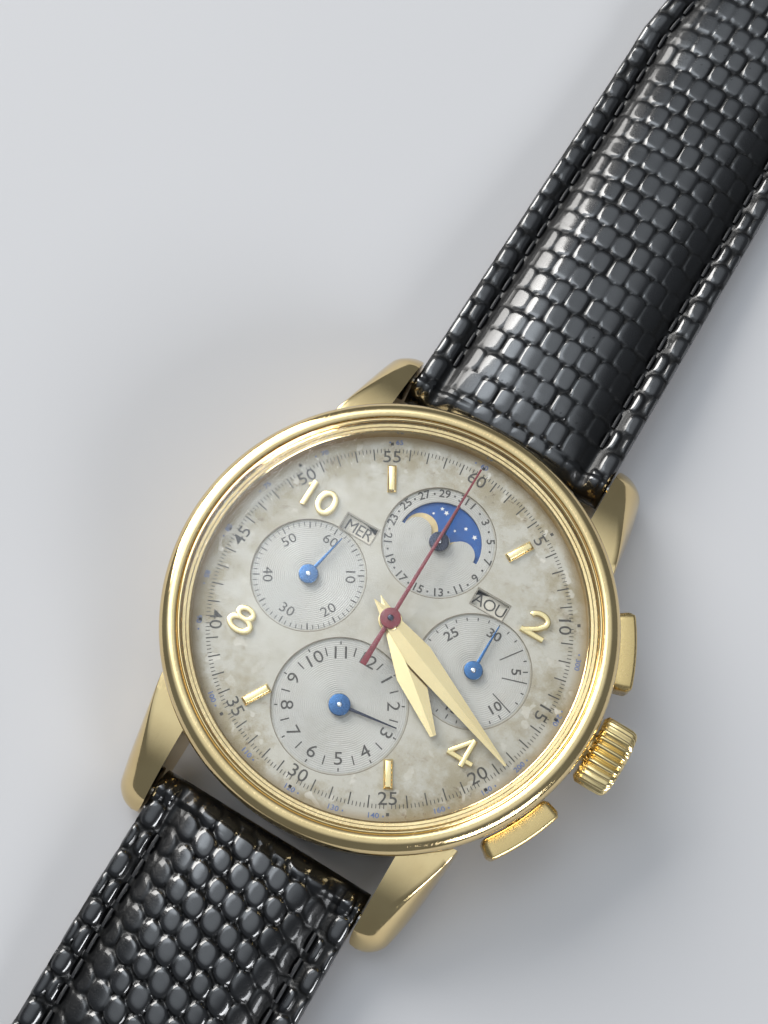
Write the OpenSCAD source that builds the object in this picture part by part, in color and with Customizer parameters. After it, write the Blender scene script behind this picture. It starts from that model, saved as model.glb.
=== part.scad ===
// Chronograph wristwatch with a triple calendar and moon phase, on a padded leather strap.
// Millimetres. The dial faces +Z, 12 o'clock is +Y and the crown is +X.
// The origin is the centre of the case back's flat face, which rests on z = 0.

/* [Case] */
// Diameter of the bezel at its widest
case_d = 36; // [35.8:0.1:36.4]
// Diameter of the dial that shows inside the bezel
dial_open_d = 31; // [30.6:0.1:31]
// Gap between each pair of lugs
lug_gap = 19; // [18.6:0.2:19.4]
// Distance from lug tip to lug tip
lug_to_lug = 44.8; // [44.6:0.2:46]
// Height of the crystal's apex
crystal_top_z = 12.4; // [12.2:0.1:13]

/* [Crown and pushers] */
// Diameter of the winding crown
crown_d = 5.8; // [5.2:0.2:6.4]
// Number of flutes round the crown
crown_flutes = 30; // [24:2:36]
// How far the crown pulls out to set the hands
crown_pull = 1.2; // [0.8:0.1:1.2]
// Width of a pusher's head
pusher_w = 6; // [5:0.2:6.2]
// Angle of the start pusher above 3 o'clock
start_angle = 25; // [24:1:28]
// Angle of the reset pusher below 3 o'clock
reset_angle = 27; // [24:1:28]

/* [Dial] */
// Distance of the 12 and 6 o'clock subdials from the centre
subdial_far = 7.64; // [7.6:0.02:7.7]
// Distance of the 3 and 9 o'clock subdials from the centre
subdial_near = 7.52; // [7.5:0.02:7.6]
// Radius of the small subdials
subdial_r = 4.6; // [4.4:0.1:4.7]
// Radius of the hour recorder's subdial
hour_subdial_r = 5.35; // [5.1:0.05:5.4]
// Hours shown, as a decimal
time_h = 4.31; // [4.2:0.01:4.4]

/* [Strap] */
// Width of the strap at the lugs
strap_w = 18.7; // [18:0.1:18.7]
// Width of the strap at the buckle
buckle_w = 16; // [15:0.5:16]
// Length of the strap half with the buckle, from bar to bar
upper_len = 75; // [72:1:78]
// Length of the strap half with the holes, from bar to tip
lower_len = 115; // [105:1:120]
// Number of adjusting holes
strap_holes = 7; // [5:1:8]

/* [Hidden] */

$fn = 96;

// Colours
gold = "#c89b5a";
brass = "#cdb27a";
rhodium = "#b9bcbf";
steel = "#8f9499";
blue_steel = "#2c3f66";
leather = "#1b1b1d";

// Case heights
back_floor = 0.9;
mid_z0 = 1.6;
mid_z1 = 7.4;
mid_r = 17.7;
bore_r = 15.4;
bezel_r = case_d / 2;
open_r = dial_open_d / 2;
crystal_r = 16.2;
crystal_seat_z = 8.9;

// Dial and the parts seen on it
dial_r = 15.9;
dial_z = 7.8;
dial_t = 0.4;
subdial_depth = 0.15;
date_pos = [0, subdial_far];
hours_pos = [0, -subdial_far];
seconds_pos = [-subdial_near, 0];
minutes_pos = [subdial_near, 0];
window_pos = [6.05, 5.3];
window_size = [2.8, 1.35];
moon_window_r = 3.45;
moon_hump_r = 1.15;
moon_hump_x = 2;

// Lugs and spring bars
lug_in = lug_gap / 2;
lug_tip = lug_to_lug / 2;
bar_y = 20.3;
bar_z = 3;
bar_r = 0.75;
bar_tip_r = 0.4;

// Crown and pushers
stem_z = 5.1;
stem_r = 0.45;
crown_x0 = 18.25;
crown_x1 = 21.3;
crown_bore_r = 1.7;
crown_bore_h = 2.05;
tube_r = 1.25;
tube_bore_r = 0.8;
pusher_in_r = 18;
pusher_out_r = 19.75;
pusher_h = 2.6;
pusher_travel = 0.9;
pusher_stem_r = 0.6;
pusher_tube_r = 1;
pocket_r = pusher_in_r - pusher_travel - 0.1;
corrector_angles = [152, 180, 208];
corrector_r = 0.5;

// Movement
move_r = 14.1;
ring_z0 = 2.6;
bridge_z = 2.6;
bridge_t = 0.6;
plate_z = 4.7;
plate_t = 1.5;
third_pos = [-4.413, -3.489];
escape_pos = [-5.6, 3.33];
pallet_pos = [-4.75, 5.85];
balance_pos = [-3.6, 9.1];
barrel_pos = [3.5, -6.06];
crown_wheel_pos = [9.3, -2.2];
minute_wheel_pos = [1.7, -2.02];
column_pos = [4.6, 9];
hammer_pos = [3.4, -6.4];
coupling_pos = [-8.6, 5];
wheel_t = 0.13;
leaf_r = 0.12;

// Hands, clockwise from 12 o'clock
minute_angle = (time_h - floor(time_h)) * 360;
hour_angle = time_h * 30;
seconds_angle = 11;
hour_recorder_angle = 81.6;

// Strap, measured from the case outwards along +Y
bar_loop_r = 2;
buckle_y = bar_y + upper_len;
tip_y = bar_y + lower_len;
keeper_lift = 1.15;
buckle_z = keeper_lift + 1.25;
margin_w = 2.3;
hole_pitch = 6.5;
hole_r = 0.9;

// ---------- shared shapes ----------

// Points of an arc about c
function arc(c, r, a0, a1, n = 12) =
    [for (i = [0:n]) c + r * [cos(a0 + (a1 - a0) * i / n), sin(a0 + (a1 - a0) * i / n)]];

// Outline of a rectangle with rounded corners, centred on c
function round_rect(c, w, h, r) = concat(
    arc(c + [w / 2 - r, h / 2 - r], r, 0, 90, 6),
    arc(c + [-w / 2 + r, h / 2 - r], r, 90, 180, 6),
    arc(c + [-w / 2 + r, -h / 2 + r], r, 180, 270, 6),
    arc(c + [w / 2 - r, -h / 2 + r], r, 270, 360, 6));

// Outline of a toothed wheel with pointed teeth
function toothed(teeth, r, depth) =
    [for (i = [0:2 * teeth - 1])
        (i % 2 == 0 ? r : r - depth) * [cos(180 * i / teeth), sin(180 * i / teeth)]];

// Turn to a clock angle and step out along it
module at_clock(angle, r = 0) {
    rotate([0, 0, -angle]) translate([0, r, 0]) children();
}

// A child drawn along +Z is laid along +X at the stem's height, turned to an angle about Z
module radial(angle, z = stem_z) {
    rotate([0, 0, angle]) translate([0, 0, z]) rotate([0, 90, 0]) children();
}

// Upright tube
module tube(r1, r0, h) {
    difference() {
        cylinder(r = r1, h = h);
        translate([0, 0, -1]) cylinder(r = r0, h = h + 2);
    }
}

// Part of a flat ring between two angles less than 180 degrees apart
module ring_sector(r0, r1, a0, a1, h) {
    far = r1 * 2;
    mid = (a0 + a1) / 2;
    difference() {
        intersection() {
            cylinder(r = r1, h = h);
            linear_extrude(h)
                polygon([[0, 0], far * [cos(a0), sin(a0)], far * [cos(mid), sin(mid)],
                         far * [cos(a1), sin(a1)]]);
        }
        translate([0, 0, -1]) cylinder(r = r0, h = h + 2);
    }
}

// Wheel with teeth, four round openings, a hub and an arbor from z0 to z1
module wheel(teeth, r, z, arbor_r, z0, z1, bore = 0) {
    depth = min(0.22, r * 0.12);
    difference() {
        union() {
            translate([0, 0, z]) linear_extrude(wheel_t) polygon(toothed(teeth, r, depth));
            translate([0, 0, z0]) cylinder(r = arbor_r, h = z1 - z0);
        }
        if (r > 1.9)
            for (a = [45:90:315])
                rotate([0, 0, a]) translate([r * 0.54, 0, z - 1]) cylinder(r = r * 0.27, h = 3);
        if (bore > 0)
            translate([0, 0, z0 - 1]) cylinder(r = bore, h = z1 - z0 + 2);
    }
}

// Flat hand: a round hub and an outline that points along +Y, on a hub tube
module hand(points, hub_r, z, t, hub_top, bore = 0) {
    difference() {
        union() {
            translate([0, 0, z]) linear_extrude(t) polygon(points);
            translate([0, 0, z]) cylinder(r = hub_r, h = hub_top - z);
        }
        if (bore > 0)
            translate([0, 0, z - 1]) cylinder(r = bore, h = 4);
    }
}

// ---------- case ----------

// Outline of one lug from above, in the quarter with +X and +Y
function lug_plan() = concat(
    [[lug_in, 11.5], [13.6, 11.5], [13.4, 12.9], [12.95, 16.5], [12.2, 20.4]],
    arc([10.75, lug_tip - 1.75], 1.4, 0, 70, 6),
    arc([10.35, lug_tip - 0.85], 0.85, 60, 180, 6));

// Outline of one lug from the side, y to the right and z up
lug_side = [
    [11, 6.9], [13.6, 6.85], [15.8, 6.45], [17.8, 5.75], [19.6, 4.85], [21.2, 3.8],
    [22.3, 2.9], [23, 2], [23, 1.2], [21.6, 0.95], [19, 0.9], [16, 1.15], [13, 1.7], [11, 1.9]
];

module lug() {
    intersection() {
        linear_extrude(8) polygon(lug_plan());
        translate([8, 0, 0]) rotate([90, 0, 90]) linear_extrude(7) polygon(lug_side);
    }
}

module lugs() {
    lug();
    mirror([1, 0, 0]) lug();
    mirror([0, 1, 0]) lug();
    mirror([1, 0, 0]) mirror([0, 1, 0]) lug();
}

// Pocket in the flank that a pusher's head sinks into
module pusher_pocket(angle) {
    half = asin(pusher_w / 2 / pusher_in_r) + 0.6;
    rotate([0, 0, angle])
        translate([0, 0, stem_z - pusher_h / 2 - 0.12])
            ring_sector(pocket_r, mid_r + 3, -half, half, pusher_h + 0.24);
}

module mid_case() color(gold) {
    difference() {
        union() {
            rotate_extrude() polygon([
                [bore_r - 1, mid_z0], [16.9, mid_z0], [mid_r, 2.7], [mid_r, 6.9],
                [17.3, mid_z1], [bore_r - 1, mid_z1]
            ]);
            lugs();
        }
        translate([0, 0, -1]) cylinder(r = bore_r, h = 12);
        for (side = [-1, 1])
            translate([-lug_in - 1.3, side * bar_y, bar_z])
                rotate([0, 90, 0]) cylinder(r = bar_tip_r + 0.03, h = lug_gap + 2.6);
        pusher_pocket(start_angle);
        pusher_pocket(-reset_angle);
        radial(0) translate([0, 0, 14]) cylinder(r = tube_r, h = 6);
        for (a = [start_angle, -reset_angle])
            radial(a) translate([0, 0, 14]) cylinder(r = pusher_tube_r, h = 6);
        for (a = corrector_angles)
            radial(a) translate([0, 0, 14]) cylinder(r = corrector_r + 0.05, h = 6);
    }
}

module bezel() color(gold) {
    rotate_extrude() polygon(concat(
        [[dial_r + 0.03, mid_z1], [17.2, mid_z1]],
        arc([16.95, 8.7], bezel_r - 16.95, -55, 90, 14) ,
        [[crystal_r + 0.35, 9.7], [crystal_r + 0.02, 9.5], [crystal_r + 0.02, crystal_seat_z],
         [open_r, crystal_seat_z], [open_r, dial_z], [dial_r + 0.03, dial_z]]));
}

// Height of a dome of the given rise at distance r
function dome(r, edge, rise) =
    let (big = (edge * edge + rise * rise) / (2 * rise)) sqrt(big * big - r * r) - big + rise;

module crystal() color("#dfe8ee", 0.35) {
    edge_z = 10.4;
    inner_r = open_r - 0.05;
    steps = 14;
    rotate_extrude() polygon(concat(
        [[inner_r, crystal_seat_z], [crystal_r, crystal_seat_z]],
        [for (i = [0:steps])
            let (r = crystal_r * (1 - i / steps))
                [r, edge_z + dome(r, crystal_r, crystal_top_z - edge_z)]],
        [for (i = [0:steps])
            let (r = inner_r * i / steps)
                [r, edge_z - 0.8 + dome(r, inner_r, crystal_top_z - edge_z - 0.3)]]));
}

module case_back() color(gold) {
    difference() {
        rotate_extrude() polygon([
            [0, 0], [13, 0], [16.6, 1], [16.6, mid_z0], [bore_r, mid_z0], [bore_r, 2.4],
            [14.7, 2.4], [14.7, back_floor], [0, back_floor]
        ]);
        at_clock(315, 16.9) translate([-1.5, 0, 1.3]) cube([3, 2, 1]);
    }
}

module case_tubes() color(gold) {
    radial(0) translate([0, 0, 15.42]) tube(tube_r, tube_bore_r, 4.4);
    for (a = [start_angle, -reset_angle])
        radial(a) translate([0, 0, 15.42])
            tube(pusher_tube_r, pusher_stem_r + 0.04, pocket_r - 15.45);
}

module spring_bars() color(steel) {
    for (side = [-1, 1])
        translate([0, side * bar_y, bar_z]) rotate([0, 90, 0]) {
            translate([0, 0, -lug_in + 0.2]) cylinder(r = bar_r, h = lug_gap - 0.4);
            translate([0, 0, -lug_in - 1.1]) cylinder(r = bar_tip_r, h = lug_gap + 2.2);
        }
}

// ---------- crown, pushers and correctors ----------

// Rounded flutes round the crown
function flute_outline(n, r, depth, steps) =
    [for (i = [0:n * steps - 1])
        let (a = 360 * i / (n * steps)) (r - depth * pow(abs(cos(a * n / 2)), 4)) * [cos(a), sin(a)]];

module crown() color(gold) {
    len = crown_x1 - crown_x0;
    radial(0) translate([0, 0, crown_x0]) difference() {
        union() {
            translate([0, 0, 0.25]) linear_extrude(len - 0.65)
                polygon(flute_outline(crown_flutes, crown_d / 2, 0.2, 8));
            cylinder(r = crown_d / 2 - 0.25, h = 0.3);
            translate([0, 0, len - 0.5]) cylinder(r1 = crown_d / 2 - 0.2, r2 = crown_d / 2 - 0.5, h = 0.3);
            translate([0, 0, len - 0.3])
                cylinder(r1 = crown_d / 2 - 0.5, r2 = crown_d / 2 - 1, h = 0.3);
        }
        translate([0, 0, -1]) cylinder(r = crown_bore_r, h = 1 + crown_bore_h);
    }
}

module crown_seal() color("#202020") {
    radial(0) translate([0, 0, crown_x0 + crown_bore_h - 0.35])
        tube(crown_bore_r - 0.04, tube_r + 0.04, 0.3);
}

module winding_stem() color(steel) {
    radial(0) {
        translate([0, 0, 9.2]) cylinder(r = stem_r, h = crown_x0 + crown_bore_h - 9.2);
        translate([0, 0, 15.6]) cylinder(r = tube_bore_r - 0.05, h = crown_x0 + crown_bore_h - 15.6);
    }
}

// Head curved to the case, with a stem that slides in its tube
module pusher(angle) {
    half = asin(pusher_w / 2 / pusher_in_r);
    rotate([0, 0, angle]) {
        intersection() {
            translate([0, 0, stem_z - pusher_h / 2])
                ring_sector(pusher_in_r, pusher_out_r, -half - 1, half + 1, pusher_h);
            translate([pusher_in_r - 1, 0, stem_z]) rotate([90, 0, 90])
                linear_extrude(4) polygon(round_rect([0, 0], pusher_w, pusher_h, 0.5));
        }
        translate([0, 0, stem_z]) rotate([0, 90, 0])
            translate([0, 0, 14.2]) cylinder(r = pusher_stem_r, h = pusher_in_r + 0.4 - 14.2);
    }
}

module start_pusher() color(gold) pusher(start_angle);

module reset_pusher() color(gold) pusher(-reset_angle);

module corrector(angle) {
    radial(angle) translate([0, 0, 14.9]) cylinder(r = corrector_r, h = 2.6);
}

module date_corrector() color(gold) corrector(corrector_angles[0]);

module day_corrector() color(gold) corrector(corrector_angles[1]);

module moon_corrector() color(gold) corrector(corrector_angles[2]);

// ---------- movement: frame ----------

module movement_ring() color(brass) {
    difference() {
        translate([0, 0, ring_z0]) tube(bore_r, move_r, mid_z1 - ring_z0);
        radial(0) translate([0, 0, 13]) cylinder(r = tube_bore_r, h = 4);
        for (a = [start_angle, -reset_angle])
            radial(a) translate([0, 0, 13]) cylinder(r = pusher_stem_r + 0.1, h = 4);
        for (a = corrector_angles)
            radial(a) translate([0, 0, 13]) cylinder(r = corrector_r + 0.1, h = 4);
    }
}

module main_plate() color(rhodium) {
    difference() {
        translate([0, 0, plate_z]) cylinder(r = move_r, h = plate_t);
        translate([0, 0, plate_z - 1]) cylinder(r = 0.5, h = plate_t + 2);
        for (p = [seconds_pos, minutes_pos])
            translate([p[0], p[1], plate_z - 1]) cylinder(r = 0.25, h = plate_t + 2);
        translate([8.9, -0.7, plate_z - 1]) cube([6, 1.4, plate_t + 2]);
        translate([9.6, -1.1, plate_z - 1]) cube([2.2, 2.2, plate_t + 2]);
        for (a = [start_angle, -reset_angle])
            rotate([0, 0, a]) translate([13, -0.8, plate_z - 1]) cube([3, 1.6, plate_t + 2]);
        for (a = corrector_angles)
            rotate([0, 0, a]) translate([13.9, -0.7, plate_z - 1]) cube([3, 1.4, plate_t + 2]);
    }
}

// Bridge over a stretch of the movement, with feet that reach the main plate
module bridge(a0, a1, feet, holes) {
    mid = (a0 + a1) / 2;
    difference() {
        union() {
            translate([0, 0, bridge_z]) ring_sector(0.9, move_r, a0, mid, bridge_t);
            translate([0, 0, bridge_z]) ring_sector(0.9, move_r, mid, a1, bridge_t);
            for (f = feet)
                translate([0, 0, bridge_z]) ring_sector(12.6, move_r, f[0], f[1], plate_z - bridge_z);
        }
        for (p = holes)
            translate([p[0], p[1], bridge_z - 1]) cylinder(r = 0.25, h = 5);
    }
}

module barrel_bridge() color(rhodium)
    bridge(-98, 74, [[15, 21], [30, 70], [-97, -90]], [minutes_pos, barrel_pos]);

module train_bridge() color(rhodium)
    bridge(150, 258, [[156, 176], [184, 204], [212, 256]], [seconds_pos, third_pos]);

module balance_cock() color(rhodium)
    bridge(76, 146, [[78, 91]], [balance_pos]);

post_places = [[-5.95, 0], [11.6, 0]];

module chronograph_bridge() color(rhodium) {
    difference() {
        union() {
            translate([-5.95, -0.9, 1.1]) cube([17.55, 1.8, 0.3]);
            for (p = post_places)
                translate([p[0], p[1], 1.1]) cylinder(r = 0.95, h = bridge_z - 1.1);
        }
        translate([0, 0, 0]) cylinder(r = 0.2, h = 3);
        for (p = post_places)
            translate([p[0], p[1], 0]) cylinder(r = 0.7, h = 1.3);
    }
}

bridge_screws = [[-12.4, 3.6], [-10.4, -7.6], [12.1, 4.6], [5.4, 11.9], [0.9, 13.2]];

module movement_screws() color(blue_steel) {
    for (p = concat(post_places, bridge_screws))
        translate([p[0], p[1], norm(p) < 12 ? 1 : bridge_z - 0.3]) difference() {
            cylinder(r = 0.65, h = 0.3);
            translate([-1, -0.1, -1]) cube([2, 0.2, 1.12]);
        }
}

module jewels() color("#b3224a") {
    for (p = [third_pos, seconds_pos, balance_pos, barrel_pos])
        translate([p[0], p[1], bridge_z - 0.12]) tube(0.55, 0.25, 0.12);
    for (p = [seconds_pos, minutes_pos])
        translate([p[0], p[1], plate_z + plate_t]) tube(0.55, 0.25, 0.12);
}

// ---------- movement: winding and going train ----------

module winding_pinion() color(steel) {
    radial(0) translate([0, 0, 9.8]) difference() {
        linear_extrude(1.8) polygon(toothed(16, 0.9, 0.15));
        translate([0, 0, -1]) cylinder(r = stem_r + 0.05, h = 4);
    }
}

module crown_wheel() color(steel) {
    translate([crown_wheel_pos[0], crown_wheel_pos[1], 0]) {
        wheel(36, 2.35, 3.6, 0.4, 3.3, 4);
        translate([0, 0, 3.6]) tube(1.3, 1, 0.5);
    }
}

module ratchet_wheel() color(steel) {
    translate([barrel_pos[0], barrel_pos[1], 0])
        translate([0, 0, 3.6]) linear_extrude(wheel_t) polygon(toothed(60, 4.5, 0.25));
}

module mainspring_barrel() color(brass) {
    translate([barrel_pos[0], barrel_pos[1], 0]) {
        difference() {
            union() {
                translate([0, 0, 3.78]) cylinder(r = 5.6, h = 0.86);
                translate([0, 0, 4.2]) linear_extrude(0.3) polygon(toothed(84, 6, 0.25));
            }
            translate([0, 0, 3.9]) tube(5.3, 1.1, 0.62);
        }
        for (r = [1.6:0.5:4.9])
            translate([0, 0, 3.95]) tube(r + 0.16, r, 0.5);
    }
}

module center_wheel() color(brass) {
    wheel(80, 4.98, 3.25, 0.4, 3.25, 8.95, 0.22);
    translate([0, 0, 3.8]) tube(0.95, 0.22, 0.8);
    translate([0, 0, 6.28]) tube(0.63, 0.22, 0.2);
}

module third_wheel() color(brass) {
    translate([third_pos[0], third_pos[1], 0]) {
        wheel(75, 4.1, 3.43, leaf_r, 3.22, 4.6);
        translate([0, 0, 3.24]) linear_extrude(0.14) polygon(toothed(10, 0.6, 0.12));
    }
}

module fourth_wheel() color(brass) {
    translate([seconds_pos[0], seconds_pos[1], 0]) {
        wheel(70, 3.48, 3.65, 0.15, 3.22, 8.2);
        translate([0, 0, 3.42]) linear_extrude(0.16) polygon(toothed(10, 0.52, 0.12));
    }
}

module escape_wheel() color(steel) {
    translate([escape_pos[0], escape_pos[1], 0]) {
        wheel(15, 2.15, 4, leaf_r, 3.5, 4.6);
        translate([0, 0, 3.64]) linear_extrude(0.16) polygon(toothed(7, 0.33, 0.08));
    }
}

module pallet_fork() color(steel) {
    tilt = atan2(balance_pos[1] - pallet_pos[1], balance_pos[0] - pallet_pos[0]) - 90;
    translate([pallet_pos[0], pallet_pos[1], 0]) rotate([0, 0, tilt]) {
        translate([0, 0, 3.76]) cylinder(r = leaf_r, h = 0.84);
        translate([0, 0, 4]) linear_extrude(wheel_t) polygon([
            [-1.2, -0.15], [-1.25, -0.4], [-0.95, -0.4], [-0.9, 0], [0.9, 0], [0.95, -0.4],
            [1.25, -0.4], [1.2, -0.15], [1, 0.3], [0.18, 0.4], [0.18, 2.2], [0.4, 2.8],
            [0.15, 2.8], [0, 2.4], [-0.15, 2.8], [-0.4, 2.8], [-0.18, 2.2], [-0.18, 0.4],
            [-1, 0.3]
        ]);
    }
}

module balance_wheel() color(brass) {
    translate([balance_pos[0], balance_pos[1], 0]) {
        translate([0, 0, 3.5]) tube(4, 3.6, 0.22);
        translate([-3.7, -0.2, 3.5]) cube([7.4, 0.4, 0.15]);
        translate([0, 0, 3.24]) cylinder(r = 0.14, h = 1.36);
        translate([0, 0, 3.8]) cylinder(r = 0.45, h = 0.1);
    }
}

// Flat spiral spring between the balance staff and its stud
module hairspring() color(blue_steel) {
    turns = 6;
    steps = 16;
    r0 = 0.5;
    pitch = 0.22;
    t = 0.03;
    spiral = [for (i = [0:turns * steps])
        let (a = 360 * i / steps, r = r0 + pitch * i / steps) [a, r]];
    translate([balance_pos[0], balance_pos[1], 3.3]) linear_extrude(0.12) polygon(concat(
        [for (s = spiral) (s[1] + t) * [cos(s[0]), sin(s[0])]],
        [for (i = [len(spiral) - 1:-1:0]) (spiral[i][1] - t) * [cos(spiral[i][0]), sin(spiral[i][0])]]));
}

module minute_wheel() color(brass) {
    translate([minute_wheel_pos[0], minute_wheel_pos[1], 0]) {
        wheel(36, 1.94, 6.3, 0.2, 6.22, 6.75);
        translate([0, 0, 6.5]) linear_extrude(0.2) polygon(toothed(10, 0.5, 0.1));
    }
}

module hour_wheel() color(brass) {
    wheel(40, 2.08, 6.55, 0.7, 6.5, 8.6, 0.46);
}

// ---------- movement: chronograph ----------

module chronograph_wheel() color(brass) {
    wheel(90, 4.7, 1.8, 0.15, 1.42, 9.5);
    translate([0, 0, 2.05]) linear_extrude(0.25)
        polygon(concat(arc([0, 0.35], 0.75, -20, 200, 14), [[0, -0.35]]));
}

module minute_recorder_wheel() color(brass) {
    translate([minutes_pos[0], minutes_pos[1], 0]) {
        wheel(30, 2.5, 1.8, 0.15, 1.42, 8.2);
        translate([0, 0, 2.05]) linear_extrude(0.25)
            polygon(concat(arc([0, 0.3], 0.65, -20, 200, 14), [[0, -0.3]]));
    }
}

module hour_recorder_wheel() color(brass) {
    translate([hours_pos[0], hours_pos[1], 0]) wheel(60, 3, 6.6, 0.15, 6.25, 8.2);
}

module column_wheel() color(steel) {
    translate([column_pos[0], column_pos[1], 0]) {
        translate([0, 0, 1.5]) linear_extrude(0.3) polygon(toothed(12, 1.6, 0.3));
        for (a = [0:60:300])
            rotate([0, 0, a]) translate([0.95, 0, 1.75]) cylinder(r = 0.24, h = 0.75);
        translate([0, 0, 1.4]) cylinder(r = 0.35, h = 1.15);
    }
}

// Yoke that swings its small wheel into the chronograph wheel
module coupling_lever() color(steel) {
    translate([0, 0, 2.1]) difference() {
        linear_extrude(0.2) polygon([
            [-9.4, 5.4], [-8.6, 5.9], [-4, 6.6], [1.8, 8.6], [2.6, 8.3], [-3.8, 5.6],
            [-6.2, 4.2], [-6.9, 1.8], [-7.5, 1.5], [-8.1, 1.9], [-8.2, 3.9], [-9.2, 4.4]
        ]);
        translate([coupling_pos[0], coupling_pos[1], -1]) cylinder(r = 0.3, h = 3);
    }
}

// Two-armed hammer that drops on the heart cams
module reset_hammer() color(steel) {
    translate([0, 0, 2.1]) difference() {
        linear_extrude(0.2) polygon([
            [2.6, -7], [3.4, -7.3], [4.2, -6.6], [7.9, -2.6], [8, -1.5], [6.9, -1.5],
            [6.6, -2.5], [3.9, -4.9], [1.1, -2.1], [0.3, -1.3], [-0.4, -2], [2.2, -5.6]
        ]);
        translate([hammer_pos[0], hammer_pos[1], -1]) cylinder(r = 0.3, h = 3);
    }
}

// ---------- calendar ----------

module date_wheel() color(brass) {
    translate([date_pos[0], date_pos[1], 0]) wheel(31, 4, 6.8, 0.2, 6.25, 8.15);
}

module moon_disc() color("#2b3f86") {
    translate([date_pos[0], date_pos[1], 7.24]) tube(3.75, 0.3, 0.12);
}

module calendar_disc(p) {
    translate([p[0], p[1], 7.24]) tube(6.25, 1, 0.12);
}

module day_disc() color("white") calendar_disc(seconds_pos);

module month_disc() color("white") calendar_disc(minutes_pos);

// ---------- dial and hands ----------

module moon_window() {
    difference() {
        intersection() {
            cylinder(r = moon_window_r, h = 2);
            translate([-5, 0, 0]) cube([10, 5, 2]);
        }
        for (side = [-1, 1])
            translate([side * moon_hump_x, 0, -1]) cylinder(r = moon_hump_r, h = 4);
        translate([0, 0, -1]) cylinder(r = 0.9, h = 4);
    }
}

module dial() color("#c4beb0") {
    difference() {
        translate([0, 0, dial_z - dial_t]) cylinder(r = dial_r, h = dial_t);
        translate([0, 0, dial_z - 1]) cylinder(r = 0.8, h = 2);
        for (p = [date_pos, seconds_pos, minutes_pos])
            translate([p[0], p[1], dial_z - subdial_depth]) cylinder(r = subdial_r, h = 1);
        translate([hours_pos[0], hours_pos[1], dial_z - subdial_depth])
            cylinder(r = hour_subdial_r, h = 1);
        for (p = [date_pos, hours_pos, seconds_pos, minutes_pos])
            translate([p[0], p[1], dial_z - 1]) cylinder(r = 0.28, h = 2);
        for (side = [-1, 1])
            translate([side * window_pos[0] - window_size[0] / 2,
                       window_pos[1] - window_size[1] / 2, dial_z - 1])
                cube([window_size[0], window_size[1], 2]);
        translate([date_pos[0], date_pos[1], dial_z - 1.2]) moon_window();
    }
    for (a = [118, 298])
        at_clock(a, 13.6) translate([0, 0, 6.2]) cylinder(r = 0.35, h = dial_z - dial_t - 6.2);
}

marker_t = 0.32;

module bar(p, q, w) {
    d = q - p;
    translate([p[0], p[1], 0]) rotate([0, 0, atan2(d[1], d[0])])
        translate([0, -w / 2, 0]) cube([norm(d), w, marker_t]);
}

module ring_numeral(r, w) {
    tube(r, r - w, marker_t);
}

// Applied Arabic numerals, drawn upright about their own centre
module numeral(n) {
    w = 0.42;
    if (n == 2) {
        translate([0, 0.62, 0]) rotate([0, 0, 50]) ring_sector(0.82 - w, 0.82, -85, 85, marker_t);
        bar([0.55, 0.3], [-0.75, -1.1], w);
        bar([-0.95, -1.18], [0.95, -1.18], w);
    }
    if (n == 4) {
        bar([0.3, -1.4], [0.3, 1.4], w);
        bar([0.42, 1.25], [-0.98, -0.55], 0.32);
        bar([-1.1, -0.55], [1, -0.55], 0.36);
    }
    if (n == 8) {
        translate([0, 0.68, 0]) ring_numeral(0.8, w);
        translate([0, -0.52, 0]) ring_numeral(0.98, w);
    }
    if (n == 10) {
        bar([-1.05, -1.3], [-1.05, 1.3], w);
        translate([0.5, 0, 0]) difference() {
            union() {
                translate([0, 0.35, 0]) cylinder(r = 1, h = marker_t);
                translate([0, -0.35, 0]) cylinder(r = 1, h = marker_t);
            }
            translate([0, 0.35, -1]) cylinder(r = 0.58, h = 3);
            translate([0, -0.35, -1]) cylinder(r = 0.58, h = 3);
            translate([-0.58, -0.35, -1]) cube([1.16, 0.7, 3]);
        }
    }
}

module hour_markers() color(gold) {
    for (n = [2, 4, 8, 10])
        translate([11.85 * sin(30 * n), 11.85 * cos(30 * n), dial_z]) numeral(n);
    for (h = [1, 5, 7, 11])
        at_clock(30 * h, 11.85) translate([0, 1.22, dial_z]) rotate([90, 0, 0])
            linear_extrude(2.44)
                polygon([[-0.4, 0], [0.4, 0], [0.4, 0.12], [0, 0.36], [-0.4, 0.12]]);
}

module hour_hand() color(gold) {
    at_clock(hour_angle)
        hand([[0, -2.2], [0.45, -0.7], [1.12, 4.6], [0.22, 9.6], [-0.22, 9.6], [-1.12, 4.6],
              [-0.45, -0.7]], 1, 8.42, 0.14, 8.6, 0.705);
}

module minute_hand() color(gold) {
    at_clock(minute_angle)
        hand([[0, -2.1], [0.5, -0.7], [1.1, 3.6], [0.08, 14.3], [-0.08, 14.3], [-1.1, 3.6],
              [-0.5, -0.7]], 0.9, 8.78, 0.14, 8.95, 0.405);
}

module chronograph_seconds_hand() color("#b3372b") {
    hand([[-0.22, -4.2], [0.22, -4.2], [0.16, -1], [0.16, 2], [0.07, 14.25], [-0.07, 14.25],
          [-0.16, 2], [-0.16, -1]], 0.82, 9.12, 0.12, 9.5, 0.155);
}

module small_hand(p, angle, length, hub_r, width) {
    translate([p[0], p[1], 0]) at_clock(angle)
        hand([[-width, -0.6], [width, -0.6], [width, 0.8], [0.05, length], [-0.05, length],
              [-width, 0.8]], hub_r, 7.95, 0.1, 8.2, 0.155);
}

module small_seconds_hand() color(blue_steel)
    small_hand(seconds_pos, seconds_angle, 3.95, 0.78, 0.16);

module minute_recorder_hand() color(blue_steel)
    small_hand(minutes_pos, 0, 4.1, 0.74, 0.16);

module hour_recorder_hand() color(blue_steel)
    small_hand(hours_pos, hour_recorder_angle, 4.75, 0.86, 0.16);

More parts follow.
